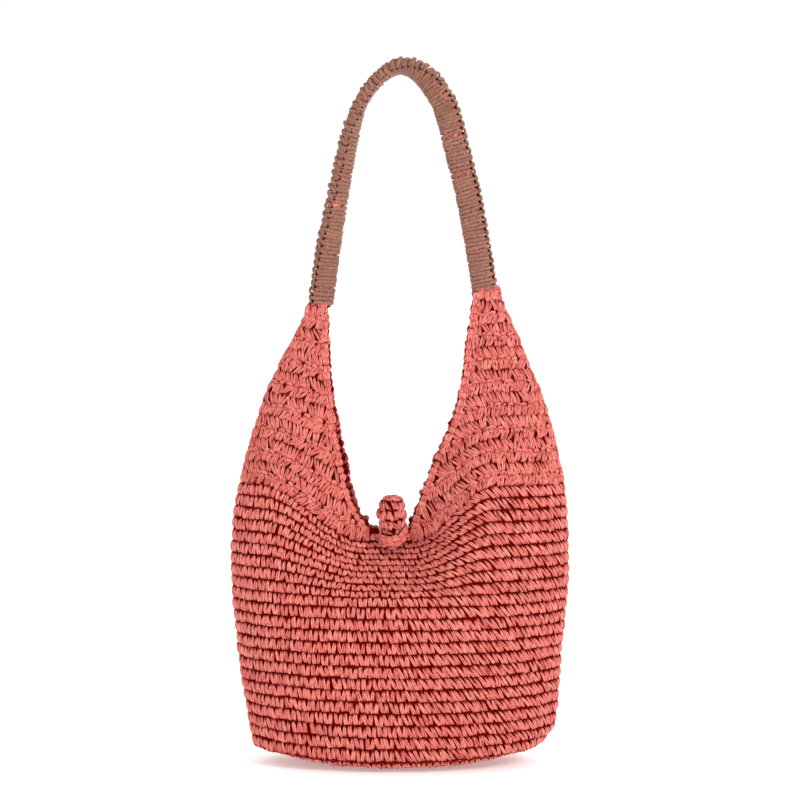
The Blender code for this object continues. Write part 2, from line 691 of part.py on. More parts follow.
def make_care_label(cloth):
    """A blank care label on the lining's end seam."""
    at = offset_surface(LABEL_ANGLE, LABEL_ROW, LINING_OFFSET - LABEL_CLEAR)
    out = outward(LABEL_ANGLE, LABEL_ROW)
    label = box_object("care_label", LABEL_SIZE, at, cloth)
    label.rotation_euler = out.to_track_quat("Y", "Z").to_euler()


# ---- Build --------------------------------------------------------------------------------------------------
def new_collection(name):
    made = bpy.data.collections.new(name)
    bpy.context.scene.collection.children.link(made)
    return made


for old in list(bpy.data.objects):
    bpy.data.objects.remove(old)
parts = new_collection("hobo_bag")
joiners = new_collection("cutters")


def main():
    straw = material("straw", (.60, .13, .10), .65)
    cord = material("cord", (.36, .17, .12), .8)
    cloth = material("lining", (.70, .52, .40), .85)
    thread = material("stuffing", (.80, .76, .68), .9)
    tape = material("zip_tape", (.55, .38, .28), .8)
    metal = material("zip_metal", (.72, .62, .42), .35, 1.0)
    label = material("label", (.85, .83, .78), .8)
    make_base(straw)
    make_wall(straw)
    make_wing("wing_left", -1, LEFT_PIVOT, straw)
    make_wing("wing_right", 1, RIGHT_PIVOT, straw)
    tube_object("edging_front", resample(neckline(True), 34), EDGING_RADIUS, straw)
    tube_object("edging_back", resample(neckline(False), 34), EDGING_RADIUS, straw)
    make_strap_root("strap_root_left", LEFT_PIVOT, straw)
    make_strap_root("strap_root_right", RIGHT_PIVOT, straw)
    strap_pivot = pivot_empty("strap_pivot", (LEFT_PIVOT + RIGHT_PIVOT) / 2)
    make_strap(cord, straw, strap_pivot)
    button_pivot = pivot_empty("button_pivot", (KNOB_CENTRE.x, KNOB_CENTRE.y, KNOB_PIVOT_Z))
    make_button(straw, thread, button_pivot)
    make_shank(straw)
    loop_pivot = pivot_empty("loop_pivot", (KNOB_CENTRE.x, KNOB_CENTRE.y, LOOP_Z_FRONT))
    make_loop(straw, loop_pivot)
    make_lining(cloth)
    make_pocket(cloth, tape, metal, joiners)
    park = ZIP_HALF_LENGTH - SLIDER_PARK
    slide_pivot = pivot_empty("zip_slide", (park, POCKET_Y, ZIP_Z))
    pull_pivot = pivot_empty("zip_pull_pivot", (park, SLIDER_FACE - PULL_DEPTH, ZIP_Z))
    pull_pivot.parent = slide_pivot
    pull_pivot.matrix_parent_inverse = slide_pivot.matrix_world.inverted()
    bpy.context.view_layer.update()
    make_zip_slider(metal, slide_pivot, pull_pivot)
    make_care_label(label)


main()
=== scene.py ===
"""Looks of the crocheted straw hobo bag: every stitch, turn of cord and zip tooth, built round the CAD frame.

The crochet repeats the CAD model's surface, an angle round the bag and a row number up it. Metres, +Z up,
front towards -Y.
"""
import math

import bmesh
import bpy
import numpy as np
from mathutils import Matrix, Vector


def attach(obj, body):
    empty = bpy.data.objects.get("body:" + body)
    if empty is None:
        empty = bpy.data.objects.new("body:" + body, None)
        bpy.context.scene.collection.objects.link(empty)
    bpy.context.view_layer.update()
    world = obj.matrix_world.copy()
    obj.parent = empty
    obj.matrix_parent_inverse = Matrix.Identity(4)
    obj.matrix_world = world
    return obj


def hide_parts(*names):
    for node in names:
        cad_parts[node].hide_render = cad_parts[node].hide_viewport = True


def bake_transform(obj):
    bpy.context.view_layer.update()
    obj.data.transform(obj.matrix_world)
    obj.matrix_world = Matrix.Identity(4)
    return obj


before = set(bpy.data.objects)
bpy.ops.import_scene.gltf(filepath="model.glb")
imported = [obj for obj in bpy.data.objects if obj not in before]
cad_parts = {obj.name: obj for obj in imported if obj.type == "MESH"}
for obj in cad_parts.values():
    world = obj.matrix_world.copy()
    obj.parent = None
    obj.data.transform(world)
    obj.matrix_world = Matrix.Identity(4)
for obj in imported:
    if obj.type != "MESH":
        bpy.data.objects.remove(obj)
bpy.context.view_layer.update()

rng = np.random.default_rng(7)
MM = .001

# ---- The CAD model's sizes -----------------------------------------------------------------------------
ROW_HEIGHT = .0105
FIRST_ROW_HEIGHT = .016
DROP, DROP_ROWS = .006, 4    # how far the first round hangs at front and back, and how that fades
LAST_ROUND = 23
WALL, GIRTH = .004, .75      # the wall's thickness, and about how far round the bag is
LEFT_END = [(0, -.134), (2, -.138), (8, -.1475), (16, -.154), (20, -.152), (23, -.146), (27, -.135),
            (30, -.1245), (33.5, -.109), (37, -.091), (39, -.083)]
RIGHT_END = [(0, .128), (2, .142), (8, .1475), (16, .154), (20, .1525), (23, .1495), (27, .140),
             (30, .131), (33.5, .1165), (37, .1015), (39, .0925)]
HALF_DEPTH = [(0, .059), (3, .070), (8, .076), (14, .076), (18, .070), (23, .057), (28, .043),
              (33, .026), (37, .015), (39, .011)]
PINCH_X, PINCH_WIDTH, PINCH, PINCH_FIRST_ROW, PINCH_GROWTH = -.007, .058, .88, 12, 1.4
SAG, SAG_FIRST_ROW, SAG_GROWTH, SAG_FADE_ROWS = .054, 13.5, 1.1, 9
SAG_LEFT, SAG_RIGHT, SAG_FLAT = .118, .092, .18
LEFT_NECK = [(23, -.0225), (24, -.0400), (25, -.0500), (27, -.0576), (29, -.0637), (31, -.0675),
             (33, -.0700), (35, -.0715), (39, -.0728)]
RIGHT_NECK = [(23, .0094), (24, .0174), (25, .0240), (27, .0368), (29, .0522), (31, .0604),
              (33, .0645), (35, .0668), (39, .0730)]
BACK_REACH = [(23, 0), (24, .0005), (25, .0034), (27, .0042), (29, .0036), (31, .0020), (33, .0010),
              (39, .0010)]
LEFT_PIVOT = Vector((-.0740, 0, .4090))
RIGHT_PIVOT = Vector((.0805, 0, .4180))
STRAP_ROUTE = [(-.0723, .423), (-.0660, .469), (-.0573, .514), (-.0482, .560), (-.0410, .587),
               (-.0328, .606), (-.0170, .6255), (.0014, .6345), (.0220, .6265), (.0387, .605),
               (.0455, .587), (.0523, .560), (.0637, .514), (.0719, .469), (.0787, .428)]
STRAP_TWIST = [(0, 8), (.11, 25), (.21, 48), (.32, 62), (.41, 84), (.50, 72), (.585, 22), (.67, 6),
               (1, 0)]
STRAP_WIDTH, STRAP_THICKNESS = .0232, .0130
STRAP_SHIFT = -.0014         # the wrap sits this far in from the route, to leave room for the edge hitches
ROOT_REACH = .0086
KNOB_CENTRE = Vector((-.0070, -.0180, .2275))
KNOB_RADIUS, KNOB_HALF_HEIGHT = .0127, .0188
LINING_OFFSET = -(WALL / 2 + .0023)
POCKET_Y, POCKET_HALF_WIDTH, POCKET_LOW, POCKET_HIGH = .0598, .0520, .058, .132
ZIP_Y = POCKET_Y + .0005
ZIP_Z, ZIP_HALF_LENGTH, ZIP_HALF_HEIGHT = .120, .044, .0050
TAPE_GAP = .0017             # from the middle of the zip to the edge of either tape

# ---- The crochet surface -------------------------------------------------------------------------------
def smooth(stations, at):
    """Monotone cubic curve through the stations, for an array of places."""
    xs, ys = np.array(stations, float).T
    step = np.diff(xs)
    slope = np.diff(ys) / step
    tangent = np.zeros(len(xs))
    tangent[0], tangent[-1] = slope[0], slope[-1]
    for i in range(1, len(xs) - 1):
        if slope[i - 1] * slope[i] > 0:
            w1, w2 = 2 * step[i] + step[i - 1], step[i] + 2 * step[i - 1]
            tangent[i] = (w1 + w2) / (w1 / slope[i - 1] + w2 / slope[i])
    at = np.clip(np.asarray(at, float), xs[0], xs[-1])
    i = np.clip(np.searchsorted(xs, at, side="right") - 1, 0, len(xs) - 2)
    h = step[i]
    t = (at - xs[i]) / h
    return (ys[i] * (1 + 2 * t) * (1 - t) ** 2 + h * tangent[i] * t * (1 - t) ** 2
            + ys[i + 1] * t * t * (3 - 2 * t) + h * tangent[i + 1] * t * t * (t - 1))


def ease(low, high, at):
    t = np.clip((np.asarray(at, float) - low) / (high - low), 0, 1)
    return t * t * (3 - 2 * t)


def unit(v):
    return v / np.maximum(np.linalg.norm(v, axis=-1, keepdims=True), 1e-12)


def middle_and_half_width(row):
    left, right = smooth(LEFT_END, row), smooth(RIGHT_END, row)
    return (left + right) / 2, (right - left) / 2


def surface(angle, row):
    """Middle of the crochet wall: angle 0 is the right end, -90 degrees the front."""
    angle, row = np.asarray(angle, float), np.asarray(row, float)
    centre, half_width = middle_and_half_width(row)
    x = centre + half_width * np.cos(angle)
    up = np.clip((row - PINCH_FIRST_ROW) / (LAST_ROUND - PINCH_FIRST_ROW), 0, 1) ** PINCH_GROWTH
    pinch = PINCH * up * np.exp(-((x - PINCH_X) / PINCH_WIDTH) ** 2)
    y = smooth(HALF_DEPTH, row) * np.sin(angle) * (1 - pinch)
    reach = np.where(x < PINCH_X, SAG_LEFT, SAG_RIGHT)
    away = np.clip((np.abs(x - PINCH_X) / reach - SAG_FLAT) / (1 - SAG_FLAT), 0, 1)
    low_rows = SAG * np.clip((row - SAG_FIRST_ROW) / (LAST_ROUND - SAG_FIRST_ROW), 0, 1) ** SAG_GROWTH
    depth = np.where(row <= LAST_ROUND, low_rows, SAG * np.exp(-(row - LAST_ROUND) / SAG_FADE_ROWS))
    sag = depth * (.5 + .5 * np.cos(np.pi * away))
    drop = DROP * np.sin(angle) ** 2 * np.exp(-np.maximum(row, 0) / DROP_ROWS)
    z = FIRST_ROW_HEIGHT + ROW_HEIGHT * row - drop - sag
    return np.stack(np.broadcast_arrays(x, y, z), -1)


CHAIN_HALF = .072            # the oval base is worked round a starting chain of this half length
BASE_RINGS = 6.2             # rounds from the chain to the rim
BASE_LIFT = [(0, 0), (.62, 0), (.76, .05), (.88, .30), (1.0, .86)]
BASE_FLAT = WALL / 2 + .0006     # height of the middle of the base
END_RISE, END_POWER, END_LIMIT = 1.5, 2.4, .96     # how the base curves up at its two ends


def base_rise(x, rise):
    """Share of the way up from the floor to the first round, which grows towards the base's two ends."""
    centre, half_width = middle_and_half_width(0)
    reach = np.minimum(np.abs(x - centre) / half_width, 1)
    end = np.minimum(END_RISE * reach ** END_POWER, END_LIMIT)
    return 1 - (1 - rise) * (1 - end)


def base_surface(angle, row):
    """The oval base, from the starting chain at row -BASE_RINGS to the bucket's first round at row 0."""
    angle, row = np.asarray(angle, float), np.asarray(row, float)
    out = np.clip(row / BASE_RINGS + 1, 0, 1.1)
    centre, half_width = middle_and_half_width(0)
    rim = surface(angle, 0)
    chain_x = centre + CHAIN_HALF * np.cos(angle)
    rim_x = centre + half_width * np.cos(angle)
    rim_y = smooth(HALF_DEPTH, 0) * np.sin(angle)
    x = chain_x + (rim_x - chain_x) * out
    z = BASE_FLAT + (rim[..., 2] - BASE_FLAT) * base_rise(x, smooth(BASE_LIFT, out))
    return np.stack(np.broadcast_arrays(x, rim_y * out, z), -1)


def neck_angle(side, row, front):
    centre, half_width = middle_and_half_width(row)
    x = smooth(LEFT_NECK if side < 0 else RIGHT_NECK, row)
    if not front and side < 0:
        x = x + smooth(BACK_REACH, row)
    return np.arccos(np.clip(side * (x - centre) / half_width, -1, 1))


def wing_angle(side, row, part):
    """Part 0 is the front neckline and 1 the back one, round the wing's end of the bag."""
    front, back = -neck_angle(side, row, True), neck_angle(side, row, False)
    turn = front + (back - front) * part
    return turn if side > 0 else np.pi - turn


def round_angle(row, part):
    """Full rounds start at the middle of the back."""
    return np.pi / 2 + 2 * np.pi * part


def run_along(points):
    """Distance from the first point to each point."""
    return np.concatenate([[0], np.cumsum(np.linalg.norm(np.diff(points, axis=0), axis=1))])


def look_up(at, stations, points):
    """Points between the ones given at the stations."""
    return np.stack([np.interp(at, stations, points[:, k]) for k in range(points.shape[1])], -1)


class Cloth:
    """A crocheted surface measured along its rows, so that stitches keep their width."""

    def __init__(self, shape, angle_at, rows):
        self.shape, self.rows = shape, np.asarray(rows, float)
        part = np.linspace(0, 1, 601)
        self.parts = np.linspace(0, 1, 301)
        self.table, self.lengths = [], []
        for row in self.rows:
            angle = angle_at(row, part)
            run = run_along(shape(angle, row))
            self.table.append(np.interp(self.parts * run[-1], run, angle))
            self.lengths.append(run[-1])
        self.table = np.array(self.table)

    def length(self, row):
        return float(np.interp(row, self.rows, self.lengths))

    def angle(self, part, row):
        u = np.clip(part, 0, 1) * (len(self.parts) - 1)
        i = np.clip(u.astype(int), 0, len(self.parts) - 2)
        over = np.asarray(part) - np.clip(part, 0, 1)
        v = np.clip(np.interp(row, self.rows, np.arange(len(self.rows))), 0, len(self.rows) - 1.0001)
        j = v.astype(int)
        fu, fv = u - i, v - j
        t = self.table
        low = t[j, i] * (1 - fu) + t[j, i + 1] * fu
        high = t[j + 1, i] * (1 - fu) + t[j + 1, i + 1] * fu
        span = (t[j, -1] - t[j, 0]) * over
        return low * (1 - fv) + high * fv + span

    def at(self, part, row, out):
        return self.on(self.angle(part, row), row, out)

    def on(self, angle, row, out):
        """Points a given distance out from the surface."""
        d_angle, d_row = .004, .04
        along = self.shape(angle + d_angle, row) - self.shape(angle - d_angle, row)
        up = self.shape(angle, row + d_row) - self.shape(angle, row - d_row)
        normal = unit(np.cross(along, up))
        return self.shape(angle, row) + normal * out[..., None]


body_cloth = Cloth(surface, round_angle, np.arange(-.5, 24.5, .5))
base_cloth = Cloth(base_surface, round_angle, np.linspace(-BASE_RINGS, .6, 15))


# ---- Strands and meshes --------------------------------------------------------------------------------
def squarish(angle, power=.78):
    """Sine and cosine bent towards the corners of a square."""
    c, s = np.cos(angle), np.sin(angle)
    return np.sign(c) * np.abs(c) ** power, np.sign(s) * np.abs(s) ** power


def tube_quads(rings, sides, order=1):
    """Quads of a tube with closed ends, whose vertices run ring by ring."""
    ring, side = np.meshgrid(np.arange(rings - 1), np.arange(sides), indexing="ij")
    other = (side + 1) % sides
    quads = np.stack([ring * sides + side, ring * sides + other, (ring + 1) * sides + other,
                      (ring + 1) * sides + side], -1).reshape(-1, 4)[:, ::order]
    caps = []
    for first, turned in ((0, -1), ((rings - 1) * sides, 1)):
        low, high = 0, sides - 1
        while high - low > 1:
            caps.append([first + low, first + low + 1, first + high - 1, first + high][::turned])
            low, high = low + 1, high - 1
    return np.concatenate([quads, np.array(caps)])


def strand(path, half_width, half_thick, sides=8, squareness=.85):
    """A flattened strand: vertices, quads and fibre coordinates. Path points are (across, along, out)."""
    path = np.array(path, float)
    half_width = np.broadcast_to(np.array(half_width, float), len(path))
    half_thick = np.broadcast_to(np.array(half_thick, float), len(path))
    tangent = unit(np.gradient(path, axis=0))
    out = np.array([0, 0, 1.0])
    side = unit(np.cross(tangent, out))
    up = np.cross(side, tangent)
    c, s = squarish(np.arange(sides) * 2 * np.pi / sides + np.pi / sides, squareness)
    across = half_width[:, None] * c
    thick = half_thick[:, None] * s
    verts = path[:, None] + side[:, None] * across[..., None] + up[:, None] * thick[..., None]
    fibre = np.stack(np.broadcast_arrays(across, run_along(path)[:, None], thick), -1)
    return verts.reshape(-1, 3), tube_quads(len(path), sides), fibre.reshape(-1, 3)


def joined(*parts):
    """Several strands as one template."""
    verts, quads, fibres, count = [], [], [], 0
    for k, (v, q, f) in enumerate(parts):
        verts.append(v)
        quads.append(q + count)
        fibres.append(f + np.array([0, .031 * k, 0]))
        count += len(v)
    return np.concatenate(verts), np.concatenate(quads), np.concatenate(fibres)


def mirrored(path):
    return [(-x, y, r) for x, y, r in path]


def in_mm(path):
    return [(x * MM, y * MM, r * MM) for x, y, r in path]


def in_scene(name, data):
    obj = bpy.data.objects.new(name, data)
    bpy.context.scene.collection.objects.link(obj)
    return obj


def stands_for(obj, body, nodes):
    """Ties a piece to its CAD body when one is given, and says which CAD nodes it shows."""
    if body:
        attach(obj, body)
    if nodes:
        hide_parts(*nodes)
    return obj


def make_mesh(name, verts, quads, material, fibre=None, deep=None, tone=None):
    """A mesh object with the attributes that the yarn materials read."""
    mesh = bpy.data.meshes.new(name)
    verts = np.ascontiguousarray(verts, np.float32)
    quads = np.ascontiguousarray(quads, np.int32)
    mesh.vertices.add(len(verts))
    mesh.vertices.foreach_set("co", verts.ravel())
    mesh.loops.add(quads.size)
    mesh.loops.foreach_set("vertex_index", quads.ravel())
    mesh.polygons.add(len(quads))
    mesh.polygons.foreach_set("loop_start", np.arange(0, quads.size, quads.shape[1], dtype=np.int32))
    mesh.polygons.foreach_set("loop_total", np.full(len(quads), quads.shape[1], np.int32))
    mesh.update(calc_edges=True)
    mesh.validate()
    mesh.shade_smooth()
    if fibre is not None:
        mesh.attributes.new("fibre", "FLOAT_VECTOR", "POINT").data.foreach_set(
            "vector", np.ascontiguousarray(fibre, np.float32).ravel())
    for key, values in (("deep", deep), ("tone", tone)):
        if values is not None:
            mesh.attributes.new(key, "FLOAT", "POINT").data.foreach_set(
                "value", np.ascontiguousarray(values, np.float32).ravel())
    mesh.materials.append(material)
    return in_scene(name, mesh)


def closed_layer(front, back, kept=None, wrapped=False):
    """A thin layer between two grids of points, with any cells that aren't kept left open."""
    size = front.shape[0] * front.shape[1]
    index = np.arange(size).reshape(front.shape[:2])
    if wrapped:
        index = np.hstack([index, index[:, :1]])
    if kept is None:
        kept = np.ones((index.shape[0] - 1, index.shape[1] - 1), bool)
    held = np.pad(kept, 1)
    if wrapped:
        held[:, 0], held[:, -1] = held[:, -2], held[:, 1]
    quads = []
    for j, i in zip(*np.nonzero(kept)):
        p, q, r, s = index[j, i], index[j, i + 1], index[j + 1, i + 1], index[j + 1, i]
        quads.append((p, q, r, s))
        quads.append((s + size, r + size, q + size, p + size))
        for neighbour, (first, second) in ((held[j, i + 1], (p, q)), (held[j + 1, i + 2], (q, r)),
                                           (held[j + 2, i + 1], (r, s)), (held[j + 1, i], (s, p))):
            if not neighbour:
                quads.append((second, first, first + size, second + size))
    return np.concatenate([front.reshape(-1, 3), back.reshape(-1, 3)]), np.array(quads)


class Pile:
    """Collects the stitches of one piece."""

    def __init__(self):
        self.verts, self.quads, self.fibres, self.deeps, self.tones, self.count = [], [], [], [], [], 0

    def add(self, verts, quads, fibre, deep, tone):
        stitches, points = verts.shape[:2]
        self.verts.append(verts.reshape(-1, 3))
        shift = self.count + np.arange(stitches)[:, None, None] * points
        self.quads.append((quads[None] + shift).reshape(-1, quads.shape[1]))
        self.fibres.append(fibre.reshape(-1, 3))
        self.deeps.append(np.broadcast_to(deep, (stitches, points)).ravel())
        self.tones.append(np.broadcast_to(tone, (stitches, points)).ravel())
        self.count += stitches * points

    def build(self, name, material, body, slot, nodes=()):
        joined_up = [np.concatenate(part) for part in (self.verts, self.quads, self.fibres, self.deeps,
                                                       self.tones)]
        obj = make_mesh(name, *joined_up[:2], material, *joined_up[2:])
        return stands_for(obj, body, nodes)


# ---- Stitches ------------------------------------------------------------------------------------------
STITCH = .00885              # width of one stitch
ROUND_STITCHES = 84          # in a full round of the bucket
VARIANTS = 6                 # of every kind of stitch
SIDES, SPREAD = 6, .50       # of one strand, and how far apart two of them lie


def doubled(path, half_width, half_thick):
    """Two strands side by side along a path, each a little out of place."""
    path = np.array(path, float)
    half_width = np.array(half_width) * MM
    tangent = unit(np.gradient(path, axis=0))
    side = unit(np.cross(tangent, np.array([0, 0, 1.0])))
    run = np.linspace(0, 1, len(path))
    made = []
    for which in (-1, 1):
        drift = .16 * MM * rng.standard_normal() + .14 * MM * rng.standard_normal() * (run - .5)
        lift = .13 * MM * rng.standard_normal() + .40 * MM * rng.standard_normal() * (run - .5)
        lift = lift - .08 * MM
        width = half_width * (.60 + .07 * rng.standard_normal())
        centre = path + side * (which * SPREAD * half_width + drift)[:, None]
        centre[:, 2] += lift
        made.append(strand(centre, width, half_thick * MM * (1 + .1 * rng.standard_normal()), SIDES))
    return made


def pair(path, width, thick):
    """A leg of a stitch and its mirror image, as one loop of yarn."""
    return *doubled(path, width, thick), *doubled(mirrored(path)[::-1], width[::-1], thick[::-1])


def right_side():
    """Two legs, open at the top and closing to a tooth below."""
    leg = in_mm([(-2.75, 5.7, -2.7), (-2.85, 4.3, -1.2), (-2.62, 1.9, -.42), (-2.15, -1.0, -.25),
                 (-1.72, -3.6, -.75), (-1.45, -5.4, -2.6)])
    width = [1.15, 1.45, 1.70, 1.85, 1.85, 1.35]
    thick = np.array([.75, 1.05, 1.25, 1.3, 1.15, .8])
    other = [(x, y, r - .0003) for x, y, r in mirrored(leg)]
    return joined(*doubled(leg, width, thick), *doubled(other[::-1], width[::-1], thick[::-1]))


def wrong_side():
    """A raised bar across the top, over two splayed legs."""
    bar = in_mm([(-4.3, .6, -2.3), (-3.0, 2.3, -.55), (-1.0, 3.3, .15), (1.2, 3.1, .15), (3.1, 1.9, -.55),
                 (4.3, .2, -2.3)])
    leg = in_mm([(-.7, 2.2, -1.6), (-1.4, .6, -.8), (-2.3, -1.6, -.35), (-2.8, -3.8, -.75),
                 (-2.9, -5.6, -2.3)])
    bar_width, bar_thick = [1.2, 1.75, 2.0, 2.0, 1.75, 1.2], np.array([.8, 1.05, 1.25, 1.25, 1.05, .8])
    width, thick = [1.3, 1.7, 1.95, 1.9, 1.4], np.array([.9, 1.1, 1.2, 1.1, .8])
    return joined(*pair(leg, width, thick), *doubled(bar, bar_width, bar_thick))


LOOPS = in_mm([(-4.8, 4.6, -2.1), (-2.2, 5.6, -1.35), (0, 5.0, -1.25), (2.3, 5.6, -1.35),
               (4.8, 4.6, -2.1)])


def top_loops():
    """The two loops along the top of a row."""
    return joined(*doubled(LOOPS, [1.7] * len(LOOPS), np.full(len(LOOPS), .9)))


RIGHT_SIDE = [right_side() for _ in range(VARIANTS)]
WRONG_SIDE = [wrong_side() for _ in range(VARIANTS)]
TOP_LOOPS = [top_loops() for _ in range(VARIANTS)]
INNER_LOOPS = [joined(strand(LOOPS, 2.3 * MM, .8 * MM, SIDES))]     # they fill in behind the stitches
TOP_FACE = .0008             # how far the top of a stitch stands out
OUT_DEPTH = .0030            # from the top of a stitch to where the painted shade is full
IN_FACE, IN_DEPTH = .0048, .0016     # how far in the crochet's inner face lies, and over what distance before it the painted shade eases off again


def scatter(jitter, count, *sizes):
    """Random offsets, one per stitch, for each of the sizes in turn."""
    return [size * jitter * rng.standard_normal((count, 1)) for size in sizes]


def stitch_row(pile, cloth, row, templates, count, parts=(0, 1), height=1.0, lean=0.0, shift=0.0, out=0.0,
               jitter=1.0, gain=1.0, scale=1.0, turn=.10):
    """One row of stitches, each standing square to the row in its own cell of the cloth."""
    span = parts[1] - parts[0]
    centres = parts[0] + span / count * (np.arange(count) + .5 + shift)
    if span > .999:
        centres = np.mod(centres, 1.0)
    middle = cloth.angle(centres, np.full(count, float(row)))
    d_angle, d_row = .01, .05
    along_row = (cloth.shape(middle + d_angle, row) - cloth.shape(middle - d_angle, row)) / (2 * d_angle)
    up_row = (cloth.shape(middle, row + d_row) - cloth.shape(middle, row - d_row)) / (2 * d_row)
    rate = np.linalg.norm(along_row, axis=1, keepdims=True)
    shear = (along_row / rate * up_row).sum(1, keepdims=True)
    fit = cloth.length(row) * span / count / STITCH
    leans = np.asarray(lean) * np.ones(count)
    kinds = rng.integers(0, len(templates), count)
    for kind, (verts, quads, fibre) in enumerate(templates):
        chosen = np.nonzero(kinds == kind)[0]
        n = len(chosen)
        if not n:
            continue
        slant, rise, tilt, wider, aside, bow, lift = scatter(jitter, n, turn, .00042, .06, .07, .00035,
                                                             .00030, .00028)
        along = verts[None, :, 1] * height + rise
        x = verts[None, :, 0] * scale * (1 + wider) - (leans[chosen][:, None] + slant) * along + aside
        x = x + bow * np.cos(along / ROW_HEIGHT * math.pi)
        along = along + tilt * verts[None, :, 0]
        rows_up = along / ROW_HEIGHT
        angle = middle[chosen][:, None] + (x * fit - rows_up * shear[chosen]) / rate[chosen]
        points = cloth.on(angle, row + rows_up, verts[None, :, 2] * gain + lift + out)
        depth = (TOP_FACE - verts[:, 2]) * gain - out
        # Painted shade: the further the yarn lies below the top of the stitch, the darker it is coloured,
        # easing off again close to the crochet's inner face
        deep = np.clip(np.minimum(depth / OUT_DEPTH, (IN_FACE - depth) / IN_DEPTH), 0, 1)[None]
        pile.add(points, quads, fibre[None] + rng.random((n, 1, 3)) * 7, deep, rng.random((n, 1)))


# ---- Materials -----------------------------------------------------------------------------------------
class Nodes:
    """Short names for the nodes that the materials are made of."""

    def __init__(self, name):
        self.material = bpy.data.materials.new(name)
        self.material.use_nodes = True
        self.tree = self.material.node_tree
        self.shader = self.tree.nodes["Principled BSDF"]

    def add(self, kind, inputs=(), **settings):
        node = self.tree.nodes.new(kind)
        for key, value in settings.items():
            setattr(node, key, value)
        for key, value in dict(inputs).items():
            if isinstance(value, bpy.types.NodeSocket):
                self.tree.links.new(value, node.inputs[key])
            else:
                node.inputs[key].default_value = value
        return node

    def attribute(self, name, output="Fac"):
        return self.add("ShaderNodeAttribute", attribute_name=name).outputs[output]

    def place(self, vector, scale):
        return self.add("ShaderNodeMapping", {"Vector": vector, "Scale": scale}).outputs["Vector"]

    def noise(self, vector, scale=1.0, detail=3.0, rough=.55):
        return self.add("ShaderNodeTexNoise", {"Vector": vector, "Scale": scale, "Detail": detail,
                                               "Roughness": rough}).outputs["Fac"]

    def between(self, value, low, high, to_low=0.0, to_high=1.0):
        return self.add("ShaderNodeMapRange", {"Value": value, "From Min": low, "From Max": high,
                                               "To Min": to_low, "To Max": to_high},
                        interpolation_type="SMOOTHSTEP").outputs["Result"]

    def mix(self, factor, a, b):
        node = self.tree.nodes.new("ShaderNodeMix")
        node.data_type = "RGBA"
        for socket, value in ((node.inputs[0], factor), (node.inputs[6], a), (node.inputs[7], b)):
            if isinstance(value, bpy.types.NodeSocket):
                self.tree.links.new(value, socket)
            else:
                socket.default_value = value
        return node.outputs[2]

    def math(self, kind, a, b=0.0):
        return self.add("ShaderNodeMath", {0: a, 1: b}, operation=kind).outputs["Value"]

    def bump(self, height, strength, distance):
        return self.add("ShaderNodeBump", {"Height": height, "Strength": strength,
                                           "Distance": distance}).outputs["Normal"]

    def finish(self, colour=None, roughness=None, normal=None, **constants):
        for key, value in (("Base Color", colour), ("Roughness", roughness), ("Normal", normal)):
            if isinstance(value, bpy.types.NodeSocket):
                self.tree.links.new(value, self.shader.inputs[key])
            elif value is not None:
                self.shader.inputs[key].default_value = value
        for key, value in constants.items():
            self.shader.inputs[key.replace("_", " ")].default_value = value
        return self.material


def srgb(r, g, b):
    """A screen colour, 0 to 255, as the linear colour that a shader takes."""
    def linear(c):
        c /= 255
        return c / 12.92 if c <= .04045 else ((c + .055) / 1.055) ** 2.4
    return (linear(r), linear(g), linear(b), 1)


FOLDS, HAIRS, CRUMPLES = (1000, 120, 1000), (3600, 260, 3600), 520     # how fine, per metre


def yarn_material(name, light, middle, shade_colour, fibre_scale=(1, 1, 1), shine=.46, crease=.0009, sheen=.10,
                  crease_shade_strength=.85):
    """Straw or cord: creases and hair-fine fibres along every strand, painted shade where strands meet and in
    the creases, and light streaks on the folds that are partly the fibres' own tone and partly painted
    highlight.
    """
    m = Nodes(name)
    fibre = m.attribute("fibre", "Vector")
    tone = m.attribute("tone")
    # Painted shade amount per vertex, set where each mesh is made
    deep = m.attribute("deep")
    fold_scale = tuple(s * f for s, f in zip(FOLDS, fibre_scale))
    hair_scale = tuple(s * f for s, f in zip(HAIRS, fibre_scale))
    folds = m.noise(m.place(fibre, fold_scale), 1.0, 3.0, .6)
    hairs = m.noise(m.place(fibre, hair_scale), 1.0, 2.0, .6)
    crumple = m.noise(fibre, CRUMPLES, 2.0)
    streak = m.math("ADD", m.math("MULTIPLY", folds, .55), m.math("MULTIPLY", hairs, .20))
    streak = m.math("ADD", streak, m.math("MULTIPLY", crumple, .25))
    # Light streaks along the fibres: partly the straw's own streaky tone, partly painted highlight on the
    # raised folds that the bump also lifts
    face = m.mix(m.between(streak, .38, .64), middle, light)
    face = m.mix(m.between(tone, .0, 1.0, .0, .35), face, middle)
    # Painted shade: the colour runs towards the shade colour in the low parts of the folds and where the yarn
    # is sunken
    crease_shade = m.between(folds, .30, .46, crease_shade_strength, 0)
    painted_shade_mask = m.math("MAXIMUM", m.between(deep, .22, .62), crease_shade)
    colour = m.mix(painted_shade_mask, face, shade_colour)
    height = m.math("ADD", m.math("MULTIPLY", folds, .8), m.math("MULTIPLY", hairs, .2))
    height = m.math("ADD", height, m.math("MULTIPLY", crumple, .4))
    normal = m.bump(height, .9, crease)
    roughness = m.between(hairs, .3, .7, shine + .14, shine - .06)
    # Specular and sheen fade out under the painted shade
    m.tree.links.new(m.between(painted_shade_mask, .05, .6, .42, 0), m.shader.inputs["Specular IOR Level"])
    m.tree.links.new(m.between(painted_shade_mask, .05, .5, sheen, 0), m.shader.inputs["Sheen Weight"])
    return m.finish(colour, roughness, normal, Sheen_Roughness=.45)


